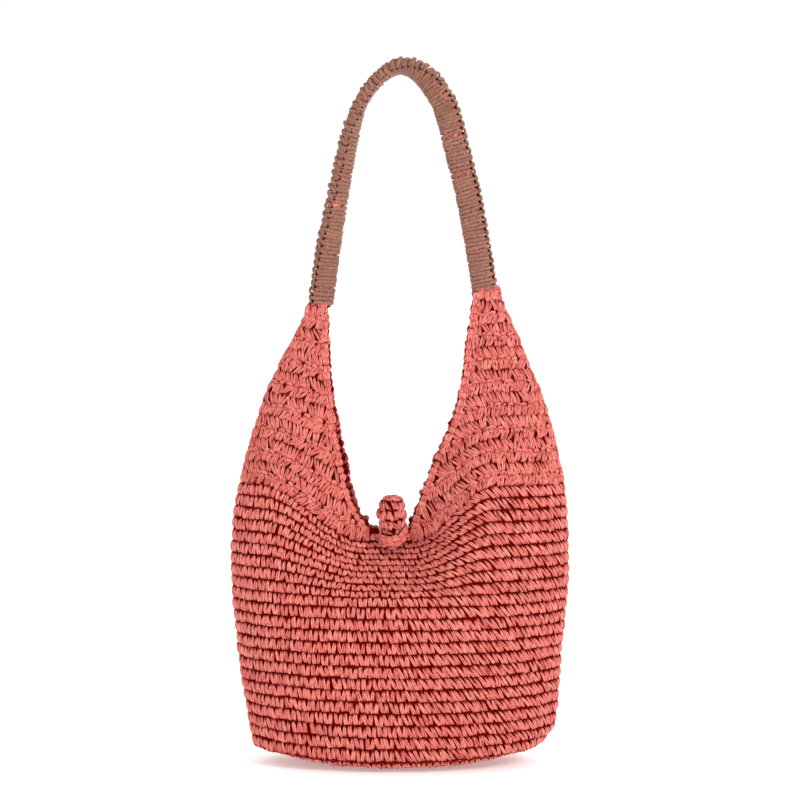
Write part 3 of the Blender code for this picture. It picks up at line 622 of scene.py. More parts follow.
def woven_material(name, warp, weft, thread=.00042, roughness=.85):
    """Plain weave from world position, with slubs and a soft nap."""
    m = Nodes(name)
    place = m.add("ShaderNodeTexCoord").outputs["Object"]
    per_metre = 2 * math.pi / (2 * thread)
    waves = []
    for rotation in ((0, math.radians(35), math.radians(12)), (0, math.radians(-55), math.radians(12))):
        turned = m.add("ShaderNodeMapping", {"Vector": place, "Rotation": rotation}).outputs["Vector"]
        wave = m.add("ShaderNodeTexWave", {"Vector": turned, "Scale": per_metre / 6.2, "Distortion": .6,
                                           "Detail": 1.0, "Detail Scale": 2.0})
        waves.append(wave.outputs["Fac"])
    weave = m.math("MULTIPLY", waves[0], waves[1])
    slub = m.noise(place, 220, 3.0)
    colour = m.mix(m.between(weave, .1, .7), warp, weft)
    colour = m.mix(m.between(slub, .3, .8, 0, .35), colour, warp)
    return m.finish(colour, roughness, m.bump(weave, .5, .0002), Sheen_Weight=.3)


def metal_material(name, colour):
    m = Nodes(name)
    place = m.add("ShaderNodeTexCoord").outputs["Object"]
    brushed = m.noise(m.place(place, (600, 5200, 5200)), 1.0, 3.0)
    patina = m.noise(place, 160, 4.0)
    tint = m.mix(m.between(patina, .35, .75, 0, .55), colour, tuple(c * .45 for c in colour[:3]) + (1,))
    return m.finish(tint, m.between(brushed, .3, .7, .24, .42), m.bump(brushed, .15, .00004), Metallic=1.0)


# Each yarn's lightest colour is partly the fibres' own tone and partly painted highlight; its darkest is
# painted shade for creases and sunken yarn
CORAL_STREAK_AND_HIGHLIGHT, CORAL, CORAL_PAINTED_SHADE = srgb(252, 160, 147), srgb(206, 78, 67), srgb(126, 10, 4)
CORD_STREAK_AND_HIGHLIGHT, CORD, CORD_PAINTED_SHADE = srgb(172, 119, 99), srgb(118, 72, 55), srgb(40, 10, 4)
straw = yarn_material("coral_straw", CORAL_STREAK_AND_HIGHLIGHT, CORAL, CORAL_PAINTED_SHADE)
cord_look = yarn_material("brown_cord", CORD_STREAK_AND_HIGHLIGHT, CORD, CORD_PAINTED_SHADE, (1.5, 3, 1.5), .58, .0004, .15, .15)
lining_look = woven_material("linen", srgb(206, 178, 152), srgb(226, 204, 182))
thread_look = woven_material("sewing_thread", srgb(178, 142, 116), srgb(198, 164, 138), .0002)
tape_look = woven_material("zip_tape", srgb(170, 132, 106), srgb(190, 152, 126), .0003)
label_look = woven_material("satin_label", srgb(232, 228, 218), srgb(244, 241, 234), .0002, .5)
brass = metal_material("brass", (.78, .58, .30, 1))

# ---- Camera, floor and light ---------------------------------------------------------------------------
CAMERA_AIM = Vector((0, 0, .332))
CAMERA_DISTANCE, CAMERA_HEIGHT_ANGLE = 2.40, math.radians(3.6)
FLOOR_HALF, FLOOR_GLOW, WORLD_LIGHT = 60.0, .28, 1.02
LIGHTS_AIM = Vector((0, 0, .28))
WHITE = (1, 1, 1, 1)
camera_data = bpy.data.cameras.new("camera")
camera_data.lens = 118.7
camera_data.sensor_width = 36
camera_data.clip_end = 200
camera = in_scene("camera", camera_data)
camera.location = CAMERA_AIM + CAMERA_DISTANCE * Vector((0, -math.cos(CAMERA_HEIGHT_ANGLE),
                                                         math.sin(CAMERA_HEIGHT_ANGLE)))
camera.rotation_euler = (CAMERA_AIM - camera.location).to_track_quat("-Z", "Y").to_euler()
bpy.context.scene.camera = camera
bpy.context.scene.view_settings.view_transform = "Standard"


def make_floor():
    m = Nodes("pale_floor")
    place = m.add("ShaderNodeTexCoord").outputs["Object"]
    grain = m.noise(place, 40, 3.0)
    m.finish(m.mix(m.between(grain, .3, .7), (.975, .975, .975, 1), (.985, .985, .985, 1)), .9)
    m.shader.inputs["Emission Color"].default_value = WHITE
    m.shader.inputs["Emission Strength"].default_value = FLOOR_GLOW
    mesh = bpy.data.meshes.new("floor")
    corners = [(x * FLOOR_HALF, y * FLOOR_HALF, 0) for x, y in ((-1, -1), (1, -1), (1, 1), (-1, 1))]
    mesh.from_pydata(corners, [], [(0, 1, 2, 3)])
    mesh.materials.append(m.material)
    floor = in_scene("floor", mesh)


def make_light(name, place, power, size):
    data = bpy.data.lights.new(name, "AREA")
    data.energy, data.size = power, size
    light = in_scene(name, data)
    light.location = place
    light.rotation_euler = (LIGHTS_AIM - Vector(place)).to_track_quat("-Z", "Y").to_euler()


make_floor()
make_light("key", (1.6, -1.7, 1.6), 22, .7)
make_light("back", (.3, 2.2, 1.8), 3, 1.2)
world = bpy.data.worlds.new("soft_white")
world.use_nodes = True
world.node_tree.nodes["Background"].inputs["Color"].default_value = WHITE
world.node_tree.nodes["Background"].inputs["Strength"].default_value = WORLD_LIGHT
bpy.context.scene.world = world

# ---- Bucket: base and full rounds ----------------------------------------------------------------------
LEFT_LEAN, MORE_LEAN, BACK_LEAN = .04, .62, .22
LEAN_FROM, LEAN_TO = -.035, .045


def front_lean(x, y):
    """Stitches at the front right lean to the left; elsewhere they stand nearly upright."""
    return np.where(y < 0, MORE_LEAN * ease(LEAN_FROM, LEAN_TO, x) + LEFT_LEAN, BACK_LEAN)


BASE_ROW_SPACING, BASE_ROW_SHIFT = .99, .17
ROUND_SHIFT = .16            # every round starts this share of a stitch further along
RIM_ROW, RIM_LOOPS = LAST_ROUND - .22, 70


def make_base():
    pile = Pile()
    for k in range(7):
        row = -.55 - k * BASE_ROW_SPACING
        count = max(int(base_cloth.length(row) / STITCH), 12)
        stitch_row(pile, base_cloth, row, RIGHT_SIDE, count, shift=BASE_ROW_SHIFT * k, lean=.1)
    pile.build("base_stitches", straw, "bag", "straw", ["base_panel"])


def make_bucket():
    shift = 0.0
    for name, rows in (("lower", range(0, 8)), ("middle", range(8, 16)), ("upper", range(16, 23))):
        pile = Pile()
        for k in rows:
            row = k + .5
            count = min(ROUND_STITCHES, int(body_cloth.length(row) / STITCH))
            shift += ROUND_SHIFT
            part = np.mod((np.arange(count) + .5 + shift) / count, 1)
            middle = surface(body_cloth.angle(part, np.full(count, row)), row)
            lean = front_lean(middle[:, 0], middle[:, 1])
            stitch_row(pile, body_cloth, row, RIGHT_SIDE, count, lean=lean, shift=shift)
        if name == "upper":
            stitch_row(pile, body_cloth, RIM_ROW, TOP_LOOPS, RIM_LOOPS, jitter=1.2, scale=1.2)
        pile.build("bucket_stitches_" + name, straw, "bag", "straw", ["body_wall"])


def shell_piece(name, cloth, rows, around, out, thickness, material, deep=.8, wave=0.0, body="bag",
                nodes=()):
    """A thin closed layer of cloth that follows a crocheted surface all the way round."""
    part, row = np.meshgrid(np.linspace(0, 1, around + 1)[:-1], rows)
    turn = 2 * np.pi * part
    ripple = wave * (np.sin(turn * 9 + row * .9) + np.sin(turn * 4 - row * .6))
    skins = [cloth.at(part, row, out + side * thickness + ripple) for side in (.5, -.5)]
    verts, quads = closed_layer(*skins, wrapped=True)
    run = np.stack([row * ROW_HEIGHT, part * GIRTH, row * 0], -1).reshape(-1, 3)
    # Painted shade: every vertex gets the same shade value, .8 unless given, so straw layers take their dark
    # shade colour
    obj = make_mesh(name, verts, quads, material, np.concatenate([run, run]), np.full(len(verts), deep),
                    np.full(len(verts), .5))
    return stands_for(obj, body, nodes)


WING_ROWS = {-1: 16, 1: 17}          # left and right
WING_STITCH, WING_ROW_SPACING = .0066, .985
FIRST_WING_ROW = LAST_ROUND + .55
FILLER_ROWS, FILLER_OUT = (-.02, -.5), -.0022


def make_wing(side, name):
    """A wing in two pieces; the upper one, which stands for the strap's root, is tied to no body."""
    def angle_at(row, part):
        return wing_angle(side, row, part)

    cloth = Cloth(surface, angle_at, np.arange(22.5, 40.6, .5))
    lower, upper = Pile(), Pile()
    for k in range(WING_ROWS[side]):
        pile = lower if k < WING_ROWS[side] // 2 else upper
        row = FIRST_WING_ROW + k * WING_ROW_SPACING
        count = max(int(round(cloth.length(row) / WING_STITCH)), 5)
        spill = .45 if k % 2 == 0 else .2
        keep = (-spill / count, 1 + spill / count)
        if k % 2 == 0:
            stitch_row(pile, cloth, row + .28, WRONG_SIDE, count, keep, height=.72, jitter=1.7, turn=.22,
                       out=-.0003)
            stitch_row(pile, cloth, row - .14, RIGHT_SIDE, count, keep, height=.98, jitter=1.6, lean=-.42,
                       turn=.20)
        else:
            stitch_row(pile, cloth, row, RIGHT_SIDE, count, keep, height=1.14, jitter=1.6, scale=1.02,
                       lean=.45, turn=.20)
        # Filler loops sunk behind the row, where they are coloured with painted shade
        for below in FILLER_ROWS:
            stitch_row(pile, cloth, row + below, INNER_LOOPS, count, keep, jitter=1.2, out=FILLER_OUT,
                       scale=1.4, gain=.8, height=1.1)
    lower.build(f"wing_stitches_{name}_lower", straw, "bag", "straw", ["wing_" + name])
    obj = upper.build(f"wing_stitches_{name}_upper", straw, None, "straw", ["strap_root_" + name])
    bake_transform(obj)


# ---- Paths: edging, loop, strap ------------------------------------------------------------------------
class Path:
    """A smooth route with a side and an outward direction, measured by length."""

    def __init__(self, points, outward, closed=False):
        points, outward = np.asarray(points, float), unit(np.asarray(outward, float))
        if closed:
            points, outward = np.vstack([points, points[:1]]), np.vstack([outward, outward[:1]])
        run = run_along(points)
        self.length, self.closed = run[-1], closed
        self.run = np.linspace(0, run[-1], 900)
        smooth_points = look_up(self.run, run, points)
        pad = 16
        window = np.hanning(2 * pad + 1)
        window /= window.sum()
        if closed:
            padded = np.vstack([smooth_points[-pad - 1:-1], smooth_points, smooth_points[1:pad + 1]])
        else:
            first = smooth_points[:1] - (smooth_points[pad:0:-1] - smooth_points[:1])
            last = smooth_points[-1:] - (smooth_points[-2:-pad - 2:-1] - smooth_points[-1:])
            padded = np.vstack([first, smooth_points, last])
        self.points = np.stack([np.convolve(padded[:, k], window, "valid") for k in range(3)], -1)
        normal = look_up(self.run, run, outward)
        self.tangent = unit(np.gradient(self.points, axis=0))
        self.normal = unit(normal - self.tangent * (normal * self.tangent).sum(-1, keepdims=True))
        self.side = np.cross(self.tangent, self.normal)

    def at(self, s, across, out):
        if self.closed:
            s = np.mod(s, self.length)
        point, side, normal = (look_up(s, self.run, table) for table in (self.points, self.side, self.normal))
        return point + side * across[..., None] + normal * out[..., None]


def stitch_path(pile, path, templates, count, start=0.0, end=None, scale=1.0, gain=1.0, jitter=1.0,
                link=STITCH):
    """Stitches one after another along a path."""
    end = path.length if end is None else end
    pitch = (end - start) / count
    middles = start + pitch * (np.arange(count) + .5)
    kinds = rng.integers(0, len(templates), count)
    for kind, (verts, quads, fibre) in enumerate(templates):
        chosen = np.nonzero(kinds == kind)[0]
        n = len(chosen)
        if not n:
            continue
        longer, slip, wider, aside, lift = scatter(jitter, n, .05, .0003, .06, .0002, .0002)
        s = middles[chosen][:, None] + verts[None, :, 1] * pitch / link * (1 + longer) + slip
        across = verts[None, :, 0] * scale * (1 + wider) + aside
        points = path.at(s if path.closed else np.clip(s, 0, path.length), across,
                         verts[None, :, 2] * gain + lift)
        # Painted shade: yarn below the top of a chain stitch is coloured darker the lower it lies
        deep = np.clip((CHAIN_FACE - verts[:, 2]) / OUT_DEPTH, 0, 1)[None]
        pile.add(points, quads, fibre[None] + rng.random((n, 1, 3)) * 7, deep, rng.random((n, 1)))


CHAIN_FACE = .0006           # how far the top of a chain stitch stands out
CHAIN_LEG = in_mm([(-.5, -5.9, -1.5), (-1.35, -3.6, -.1), (-1.75, -.4, .35), (-1.5, 2.6, .25),
                   (-.7, 5.2, -1.2)])
CHAIN_WIDTH, CHAIN_THICK = [1.2, 1.6, 1.75, 1.65, 1.2], np.array([.7, .9, 1.0, .9, .7])


def chain_link():
    return joined(*pair(CHAIN_LEG, CHAIN_WIDTH, CHAIN_THICK))


def turned_over(template, depth):
    """The same stitch facing the other way, a given depth below."""
    verts, quads, fibre = template
    return verts * (1, 1, -1) - (0, 0, depth), quads[:, ::-1], fibre


CHAINS = [chain_link() for _ in range(VARIANTS)]
EDGINGS = [joined(chain, turned_over(chain_link(), .0024)) for chain in CHAINS]
EDGING_IN, RIM_EDGING_IN = .0040, .0026     # from the wing's edge, or the rim, to the border's middle
EDGING_PITCH, EDGING_LINK = .0066, .0098    # from one stitch to the next, and their own length


def neckline(front):
    """The border's path: down the left wing, along the rim, up the right wing."""
    sign = -1 if front else 1
    left_rows, right_rows = np.linspace(39.3, 23.6, 40), np.linspace(23.6, 39.6, 40)
    turn = 2 * math.pi if front else 0
    left = np.pi - sign * neck_angle(-1, left_rows, front)
    right = sign * neck_angle(1, right_rows, front) + turn
    across = np.linspace(left[-1], right[0], 42)[1:-1]
    angle = np.concatenate([left, across, right])
    row = np.concatenate([left_rows, np.full(40, LAST_ROUND + .1), right_rows])
    points = surface(angle, row)
    d = .01
    normal = unit(np.cross(surface(angle + d, row) - surface(angle - d, row),
                           surface(angle, row + d) - surface(angle, row - d)))
    along = unit(np.gradient(points, axis=0))
    inward = np.cross(normal, along)
    middle = np.array([PINCH_X, 0, .55])
    flip = np.sign((inward * ((middle - points) * (1, 0, 1))).sum(-1, keepdims=True))
    rim = np.concatenate([ease(24.2, 23.4, left_rows), np.ones(40), ease(24.2, 23.4, right_rows)])
    reach = EDGING_IN + (RIM_EDGING_IN - EDGING_IN) * rim[:, None]
    return Path(points + inward * flip * reach, normal)


def make_edging(front):
    path = neckline(front)
    pile = Pile()
    stitch_path(pile, path, EDGINGS, int(path.length / EDGING_PITCH), scale=.92, gain=1.2, jitter=1.9,
                link=EDGING_LINK)
    name = "front" if front else "back"
    obj = pile.build("edging_stitches_" + name, straw, None, "straw", ["edging_" + name])
    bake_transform(obj)


def strap_path():
    """Points along the strap with their wide direction, from the CAD route."""
    route = np.array([(x, 0, z) for x, z in STRAP_ROUTE])
    for end, pivot in ((0, LEFT_PIVOT), (-1, RIGHT_PIVOT)):
        pivot = np.array(pivot)
        route[end] = pivot + unit(route[end] - pivot) * (ROOT_REACH + .0003)
    spread = run_along(route)
    fine = np.linspace(0, spread[-1], 400)
    i = np.clip(np.searchsorted(spread, fine, side="right") - 1, 0, len(route) - 2)
    u = ((fine - spread[i]) / (spread[i + 1] - spread[i]))[:, None]
    before = np.vstack([2 * route[0] - route[1], route[:-1]])
    after = np.vstack([route[1:], 2 * route[-1] - route[-2]])
    p0, p1, p2, p3 = before[i], route[i], route[i + 1], after[i + 1]
    points = .5 * (2 * p1 + (p2 - p0) * u + (2 * p0 - 5 * p1 + 4 * p2 - p3) * u ** 2
                   + (3 * p1 - 3 * p2 + p3 - p0) * u ** 3)
    along = unit(np.gradient(points, axis=0))
    outer = np.stack([-along[:, 2], along[:, 1] * 0, along[:, 0]], -1)
    turn = np.radians(smooth(STRAP_TWIST, np.linspace(0, 1, len(points))))[:, None]
    wide = outer * np.cos(turn) + np.array([0, -1, 0]) * np.sin(turn)
    return Path(points, wide)


def wound_tube(centre, middle, across, thick):
    """Rings of points round a centre line, with their thin direction away from the middle line."""
    tangent = unit(np.gradient(centre, axis=0))
    radial = centre - middle
    radial = unit(radial - tangent * (radial * tangent).sum(-1, keepdims=True))
    sideways = np.cross(radial, tangent)
    return centre[:, None] + sideways[:, None] * across[:, None] + radial[:, None] * thick[:, None]


CORD_PITCH = .0033
CORD_HALF_WIDTH, CORD_HALF_THICK = .00172, .00105
CORD_SIDES, TURN_STEPS = 8, 26
WRAP_START, WRAP_END = .0022, .0020     # bare band before and after the wrap
# Places along the strap where two turns of the cord stand apart and the coral band shows between them
GAPS = [(.035, .0012), (.19, .0026), (.335, .0011), (.45, .0024), (.475, .0014), (.53, .0012),
        (.68, .0030), (.76, .0026), (.90, .0010)]


def make_wrap(path):
    many = int(path.length / CORD_PITCH * 1.2)
    spaces = CORD_PITCH * (.97 + .07 * rng.standard_normal(many).clip(-2, 2))
    spaces = spaces + .0006 * (rng.random(many) < .3)
    starts = WRAP_START + np.concatenate([[0], np.cumsum(spaces)])
    for part, gap in GAPS:
        starts = starts + np.where(starts > part * path.length, gap, 0)
    starts = starts[starts < path.length - WRAP_END]
    turns = len(starts) - 1
    steps = turns * TURN_STEPS
    phase = np.arange(steps + 1) / TURN_STEPS
    whole = np.arange(turns + 1)
    s = np.interp(phase, whole, starts)
    tilt = np.interp(phase, whole, .00075 * rng.standard_normal(turns + 1).clip(-1.6, 1.6))
    swell = np.interp(phase * 2, np.arange(2 * turns + 1), .00022 * rng.standard_normal(2 * turns + 1))
    angle = phase * 2 * np.pi
    c, si = squarish(angle)
    s = s + tilt * np.cos(angle)
    half_wide = STRAP_WIDTH / 2 - CORD_HALF_THICK - .0002 + swell
    half_thin = STRAP_THICKNESS / 2 - CORD_HALF_THICK - .0002 + swell
    centre = path.at(s, half_thin * si, half_wide * c + STRAP_SHIFT)
    middle = path.at(s, 0 * si, 0 * c + STRAP_SHIFT)
    cw, ct = squarish(np.arange(CORD_SIDES) * 2 * np.pi / CORD_SIDES + np.pi / CORD_SIDES, .8)
    across, thick = CORD_HALF_WIDTH * cw, CORD_HALF_THICK * ct
    verts = wound_tube(centre, middle, across, thick)
    fibre = np.stack(np.broadcast_arrays(across, run_along(centre)[:, None], thick), -1)
    # Painted shade on the cord: darker towards each turn's thin edges and on its side against the strap
    deep = np.broadcast_to(np.clip(.55 - .75 * ct, 0, 1), verts.shape[:2])
    tone = np.broadcast_to(np.interp(phase, whole, rng.random(turns + 1))[:, None], verts.shape[:2])
    obj = make_mesh("strap_cord", verts.reshape(-1, 3), tube_quads(len(verts), CORD_SIDES, -1), cord_look,
                    fibre.reshape(-1, 3), deep.ravel(), tone.ravel())
    stands_for(obj, "strap", ["strap_wrap"])


HITCH = in_mm([(4.8, -3.3, -2.5), (4.0, -2.7, -1.2), (2.1, -1.3, .3), (0, 0, .7), (-2.1, 1.3, .3),
               (-4.0, 2.7, -1.2), (-4.8, 3.3, -2.5)])
HITCHES = [joined(strand(HITCH, np.array([1.0, 1.4, 1.6, 1.6, 1.6, 1.4, 1.0]) * MM,
                         np.array([.8, 1.0, 1.1, 1.1, 1.1, 1.0, .8]) * MM))]
HITCH_PITCH, HITCH_IN = .0064, .0006


def make_hitches(path):
    pile = Pile()
    reach = STRAP_SHIFT + STRAP_WIDTH / 2 - HITCH_IN
    edge = Path(path.at(path.run, 0 * path.run, 0 * path.run + reach), path.normal)
    stitch_path(pile, edge, HITCHES, int(edge.length / HITCH_PITCH), .003, edge.length - .003,
                link=HITCH_PITCH, jitter=1.4)
    pile.build("strap_hitches", cord_look, "strap", "cord", ["strap_lacing"])


BAND_STRANDS, BAND_STEPS, BAND_PITCH = 7, 150, .055
BAND_HALF_WIDTH, BAND_HALF_THICK = .0078, .0031      # to the middles of its strands


def make_strap_band(path):
    """The coral band under the wrap: strands twisted round one another at a long pitch."""
    pile = Pile()
    s = np.linspace(.001, path.length - .001, BAND_STEPS)
    turn = np.arange(SIDES) * 2 * np.pi / SIDES
    across, thick = .0035 * np.cos(turn), .0013 * np.sin(turn)
    for k in range(BAND_STRANDS):
        c, si = squarish(2 * np.pi * (k / BAND_STRANDS + s / BAND_PITCH))
        centre = path.at(s, BAND_HALF_THICK * si, BAND_HALF_WIDTH * c + STRAP_SHIFT)
        verts = wound_tube(centre, path.at(s, 0 * s, 0 * s + STRAP_SHIFT), across, thick)
        fibre = np.stack(np.broadcast_arrays(across, s[:, None] + k, thick), -1)
        pile.add(verts.reshape(1, -1, 3), tube_quads(BAND_STEPS, SIDES, -1), fibre, .05, .5)
    pile.build("strap_band", straw, "strap", "straw", ["strap_core"])


# ---- Button and loop -----------------------------------------------------------------------------------
KNOB_ROWS = 5.4
KNOB_PROUD, KNOB_TOP_POWER, KNOB_FOOT_POWER = .0006, .72, .95     # its stitches' middle, and its egg shape
KNOB_STITCH = .0070
STEM_THREADS, STEM_RADIUS, STEM_FOOT, STEM_TOP = 6, .0031, .1975, .2095


def knob_surface(angle, row):
    """Egg, from its foot at row 0 to its top."""
    angle, row = np.asarray(angle, float), np.asarray(row, float)
    lift = np.radians(-72 + 160 * np.clip(row / KNOB_ROWS, -.05, 1))
    power = np.where(lift > 0, KNOB_TOP_POWER, KNOB_FOOT_POWER)
    radius = (KNOB_RADIUS + KNOB_PROUD) * np.maximum(np.cos(lift), 0) ** power
    z = KNOB_CENTRE.z + KNOB_PROUD + KNOB_HALF_HEIGHT * np.sin(lift)
    return np.stack(np.broadcast_arrays(KNOB_CENTRE.x + radius * np.cos(angle),
                                        KNOB_CENTRE.y + radius * np.sin(angle), z), -1)


def make_knob():
    cloth = Cloth(knob_surface, round_angle, np.linspace(-.3, KNOB_ROWS + .2, 24))
    pile = Pile()
    for k in range(5):
        row = .5 + k
        count = max(int(round(cloth.length(row) / KNOB_STITCH)), 5)
        stitch_row(pile, cloth, row, RIGHT_SIDE, count, shift=.4 * k, lean=.2, jitter=2.2, gain=.85,
                   scale=1.06, turn=.2)
        stitch_row(pile, cloth, row - .5, INNER_LOOPS, count, jitter=.8, out=-.0014, scale=1.5, gain=.8)
    stitch_row(pile, cloth, KNOB_ROWS - .32, RIGHT_SIDE, 5, height=.42, scale=1.2, gain=.8)
    pile.build("button_stitches", straw, "button", "straw", ["button_shell"])
    # Painted shade: a dark straw filling that shows between the knob's stitches
    filling = shell_piece("button_filling", cloth, np.linspace(.3, KNOB_ROWS - .05, 16), 28, -.0040, .0010,
                          straw, body="button", deep=.9, nodes=["button_stuffing"])


def make_stem():
    """The knob's stem: threads twisted a little round one another."""
    pile = Pile()
    thread = joined(strand(in_mm([(0, y, 0) for y in range(-6, 7, 2)]), 1.6 * MM, 1.1 * MM))
    up = np.linspace(0, 1, 12)
    for k in range(STEM_THREADS):
        turn = 2 * np.pi * k / STEM_THREADS + .9 * up
        out = np.stack([np.cos(turn), np.sin(turn), 0 * turn], -1)
        points = out * STEM_RADIUS + (KNOB_CENTRE.x, KNOB_CENTRE.y, STEM_FOOT)
        points[:, 2] += (STEM_TOP - STEM_FOOT) * up
        stitch_path(pile, Path(points, out), [thread], 1, link=.012)
    pile.build("button_stem", straw, "bag", "straw", ["button_shank"])


LOOP_RADIUS = .0120
LOOP_Z_FRONT, LOOP_Z_BACK, LOOP_RIGHT_LIFT = .2062, .2170, .0075
LOOP_BACK_ROOM = .0030       # slack behind the knob's neck
LOOP_CENTRE_X = KNOB_CENTRE.x + .001
LOOP_CLIMB = -.25            # the loop lies level as far back as this part of its radius, then climbs


def make_loop():
    angle = np.linspace(0, 2 * np.pi, 80, endpoint=False) - np.pi / 2
    y = np.sin(angle)
    z = LOOP_Z_FRONT + (LOOP_Z_BACK - LOOP_Z_FRONT) * ease(LOOP_CLIMB, .9, y)
    z = z + LOOP_RIGHT_LIFT * ease(.35, 1, np.cos(angle)) * ease(.9, -.2, y)
    reach = LOOP_RADIUS + LOOP_BACK_ROOM * ease(-.2, .9, y)
    points = np.stack([LOOP_CENTRE_X + LOOP_RADIUS * np.cos(angle), KNOB_CENTRE.y + reach * y, z], -1)
    out = np.stack([np.cos(angle), np.sin(angle), .15 + 0 * angle], -1)
    pile = Pile()
    for height in (-.0021, .0021):
        band = Path(points + (0, 0, height), out, closed=True)
        stitch_path(pile, band, CHAINS, 12, scale=.85, gain=1.3, jitter=1.5, link=.0088)
    pile.build("loop_chain", straw, "loop", "straw", ["closure_loop"])


def make_loop_ends():
    """The loop's two ends, sewn down to the back rim."""
    pile = Pile()
    top = KNOB_CENTRE.y + LOOP_RADIUS + LOOP_BACK_ROOM
    steps = np.linspace(0, 3, 30)
    outward = np.array([(0, 0, 1.0), (0, .5, 1), (0, 1, .3), (0, 1, 0)])
    for side in (-1, 1):
        x = LOOP_CENTRE_X + side * .0026
        ends = np.array([(x, top + .0002, LOOP_Z_BACK - .0010), (x + side * .0008, top + .0060, .2190),
                         (x + side * .0014, top + .0095, .2150), (x + side * .0014, top + .0095, .2075)])
        path = Path(look_up(steps, np.arange(4), ends), look_up(steps, np.arange(4), outward))
        stitch_path(pile, path, CHAINS, 3, scale=.8, gain=.8, link=.0086)
    obj = pile.build("loop_ends", straw, None, "straw", ["loop_tether"])
    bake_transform(obj)


# ---- Lining and zipped pocket --------------------------------------------------------------------------
LINING_INSET, LINING_FLOOR_HEIGHT = .0042, .0074     # the lining floor's, from the wall and the table
LINING_ROWS = np.linspace(-.1, 20.99, 48)
HEM_ROWS = [21.05, 21.1, 21.3, 21.6, 21.9, 22.05, 22.1]
HEM_SEAMS = (("hem_stitches_lower", 21.22), ("hem_stitches_upper", 21.93))
LINING_FLOOR_ROWS = [.004, .1, .2, .3, .4, .5, .6, .68, .75, .81, .86, .9, .94, .98]


def cloth_slab(name, across, up, place, thickness, material, node, keep=None):
    """A thin closed layer over a grid, with any cells that keep() refuses left open."""
    a, u = np.meshgrid(across, up)
    kept = keep((a[:-1, :-1] + a[1:, 1:]) / 2, (u[:-1, :-1] + u[1:, 1:]) / 2) if keep else None
    verts, quads = closed_layer(place(a, u, -thickness / 2), place(a, u, thickness / 2), kept)
    used, quads = np.unique(quads, return_inverse=True)
    obj = make_mesh(name, verts[used], quads.reshape(-1, 4), material)
    return stands_for(obj, "bag", [node])


def soft_plane(y, wobble=.00025):
    """Places on an upright plane facing the front, with the small waves that sewn cloth has."""
    def place(x, z, depth):
        wave = wobble * (np.sin(x * 210 + z * 60) + np.sin(z * 170 - x * 90))
        return np.stack([x, y + wave + depth, z], -1)
    return place


def running_stitches(name, points, outward, pitch, thick):
    """A row of sewn stitches along a closed path."""
    path = Path(points, outward, closed=True)
    stitch = in_mm([(0, -1.25, -.35), (0, -.9, .05), (0, 0, .16), (0, .9, .05), (0, 1.25, -.35)])
    template = joined(strand(stitch, thick * 1.2, thick, 6))
    pile = Pile()
    stitch_path(pile, path, [template], max(int(path.length / pitch), 2), jitter=.25, link=.0034)
    return pile.build(name, thread_look, "bag", "lining")


def make_lining():
    wall = shell_piece("lining_cloth", body_cloth, LINING_ROWS, 160, LINING_OFFSET, .0009, lining_look,
                       wave=.00018, nodes=["lining_wall"])
    hem = shell_piece("lining_hem_fold", body_cloth, HEM_ROWS, 160, LINING_OFFSET, .0014, lining_look,
                      wave=.00008, nodes=["lining_hem"])
    part = np.linspace(0, 1, 240, endpoint=False)
    for name, row in HEM_SEAMS:
        rows = np.full(part.shape, row)
        points = body_cloth.at(part, rows, np.full(part.shape, LINING_OFFSET - .0009))
        inner = body_cloth.at(part, rows, np.full(part.shape, LINING_OFFSET - .0030))
        running_stitches(name, points, inner - points, .0034, .00022)
    floor = shell_piece("lining_floor", lining_base_cloth, LINING_FLOOR_ROWS, 120, 0, .0009, lining_look,
                        nodes=["lining_base"])


def lining_floor_surface(angle, row):
    """The lining's oval bottom; here the row runs from 0 in the middle to 1 at the rim."""
    centre, half_width = middle_and_half_width(0)
    rise = smooth([(0, 0), (.60, 0), (.74, .01), (.86, .16), (.95, .60), (.98, .75)], row)
    x = centre + (half_width - LINING_INSET / 2) * np.cos(angle) * row
    y = (smooth(HALF_DEPTH, 0) - LINING_INSET) * np.sin(angle) * row
    height = (surface(angle, 0)[..., 2] - WALL / 2) * base_rise(x, rise)
    return np.stack(np.broadcast_arrays(x, y, LINING_FLOOR_HEIGHT + height), -1)


def make_pocket_face():
    half_x, half_z = ZIP_HALF_LENGTH + .003, ZIP_HALF_HEIGHT + .0003
    xs = np.unique(np.concatenate([np.linspace(-POCKET_HALF_WIDTH, POCKET_HALF_WIDTH, 37),
                                   [-half_x, half_x]]))
    zs = np.unique(np.concatenate([np.linspace(POCKET_LOW, POCKET_HIGH, 27),
                                   [ZIP_Z - half_z, ZIP_Z + half_z]]))
    plane = soft_plane(ZIP_Y)

    def beside_zip(x, z):
        return (np.abs(x) > half_x) | (np.abs(z - ZIP_Z) > half_z)

    panel = cloth_slab("pocket_face", xs, zs, plane, .0009, lining_look, "pocket_panel", beside_zip)
    seams = (("outer", POCKET_HALF_WIDTH - .0025, POCKET_LOW + .0025, POCKET_HIGH - .0025),
             ("zip", half_x + .0018, ZIP_Z - half_z - .0018, ZIP_Z + half_z + .0018))
    for name, reach, low, high in seams:
        corners = np.array([(-reach, low), (reach, low), (reach, high), (-reach, high), (-reach, low)])
        x, z = look_up(np.linspace(0, 4, 161)[:-1], np.arange(5), corners).T
        points = plane(x, z, -.00065)
        outward = np.broadcast_to(np.array([0, -1.0, 0]), points.shape)
        running_stitches("pocket_stitches_" + name, points, outward, .0030, .0002)


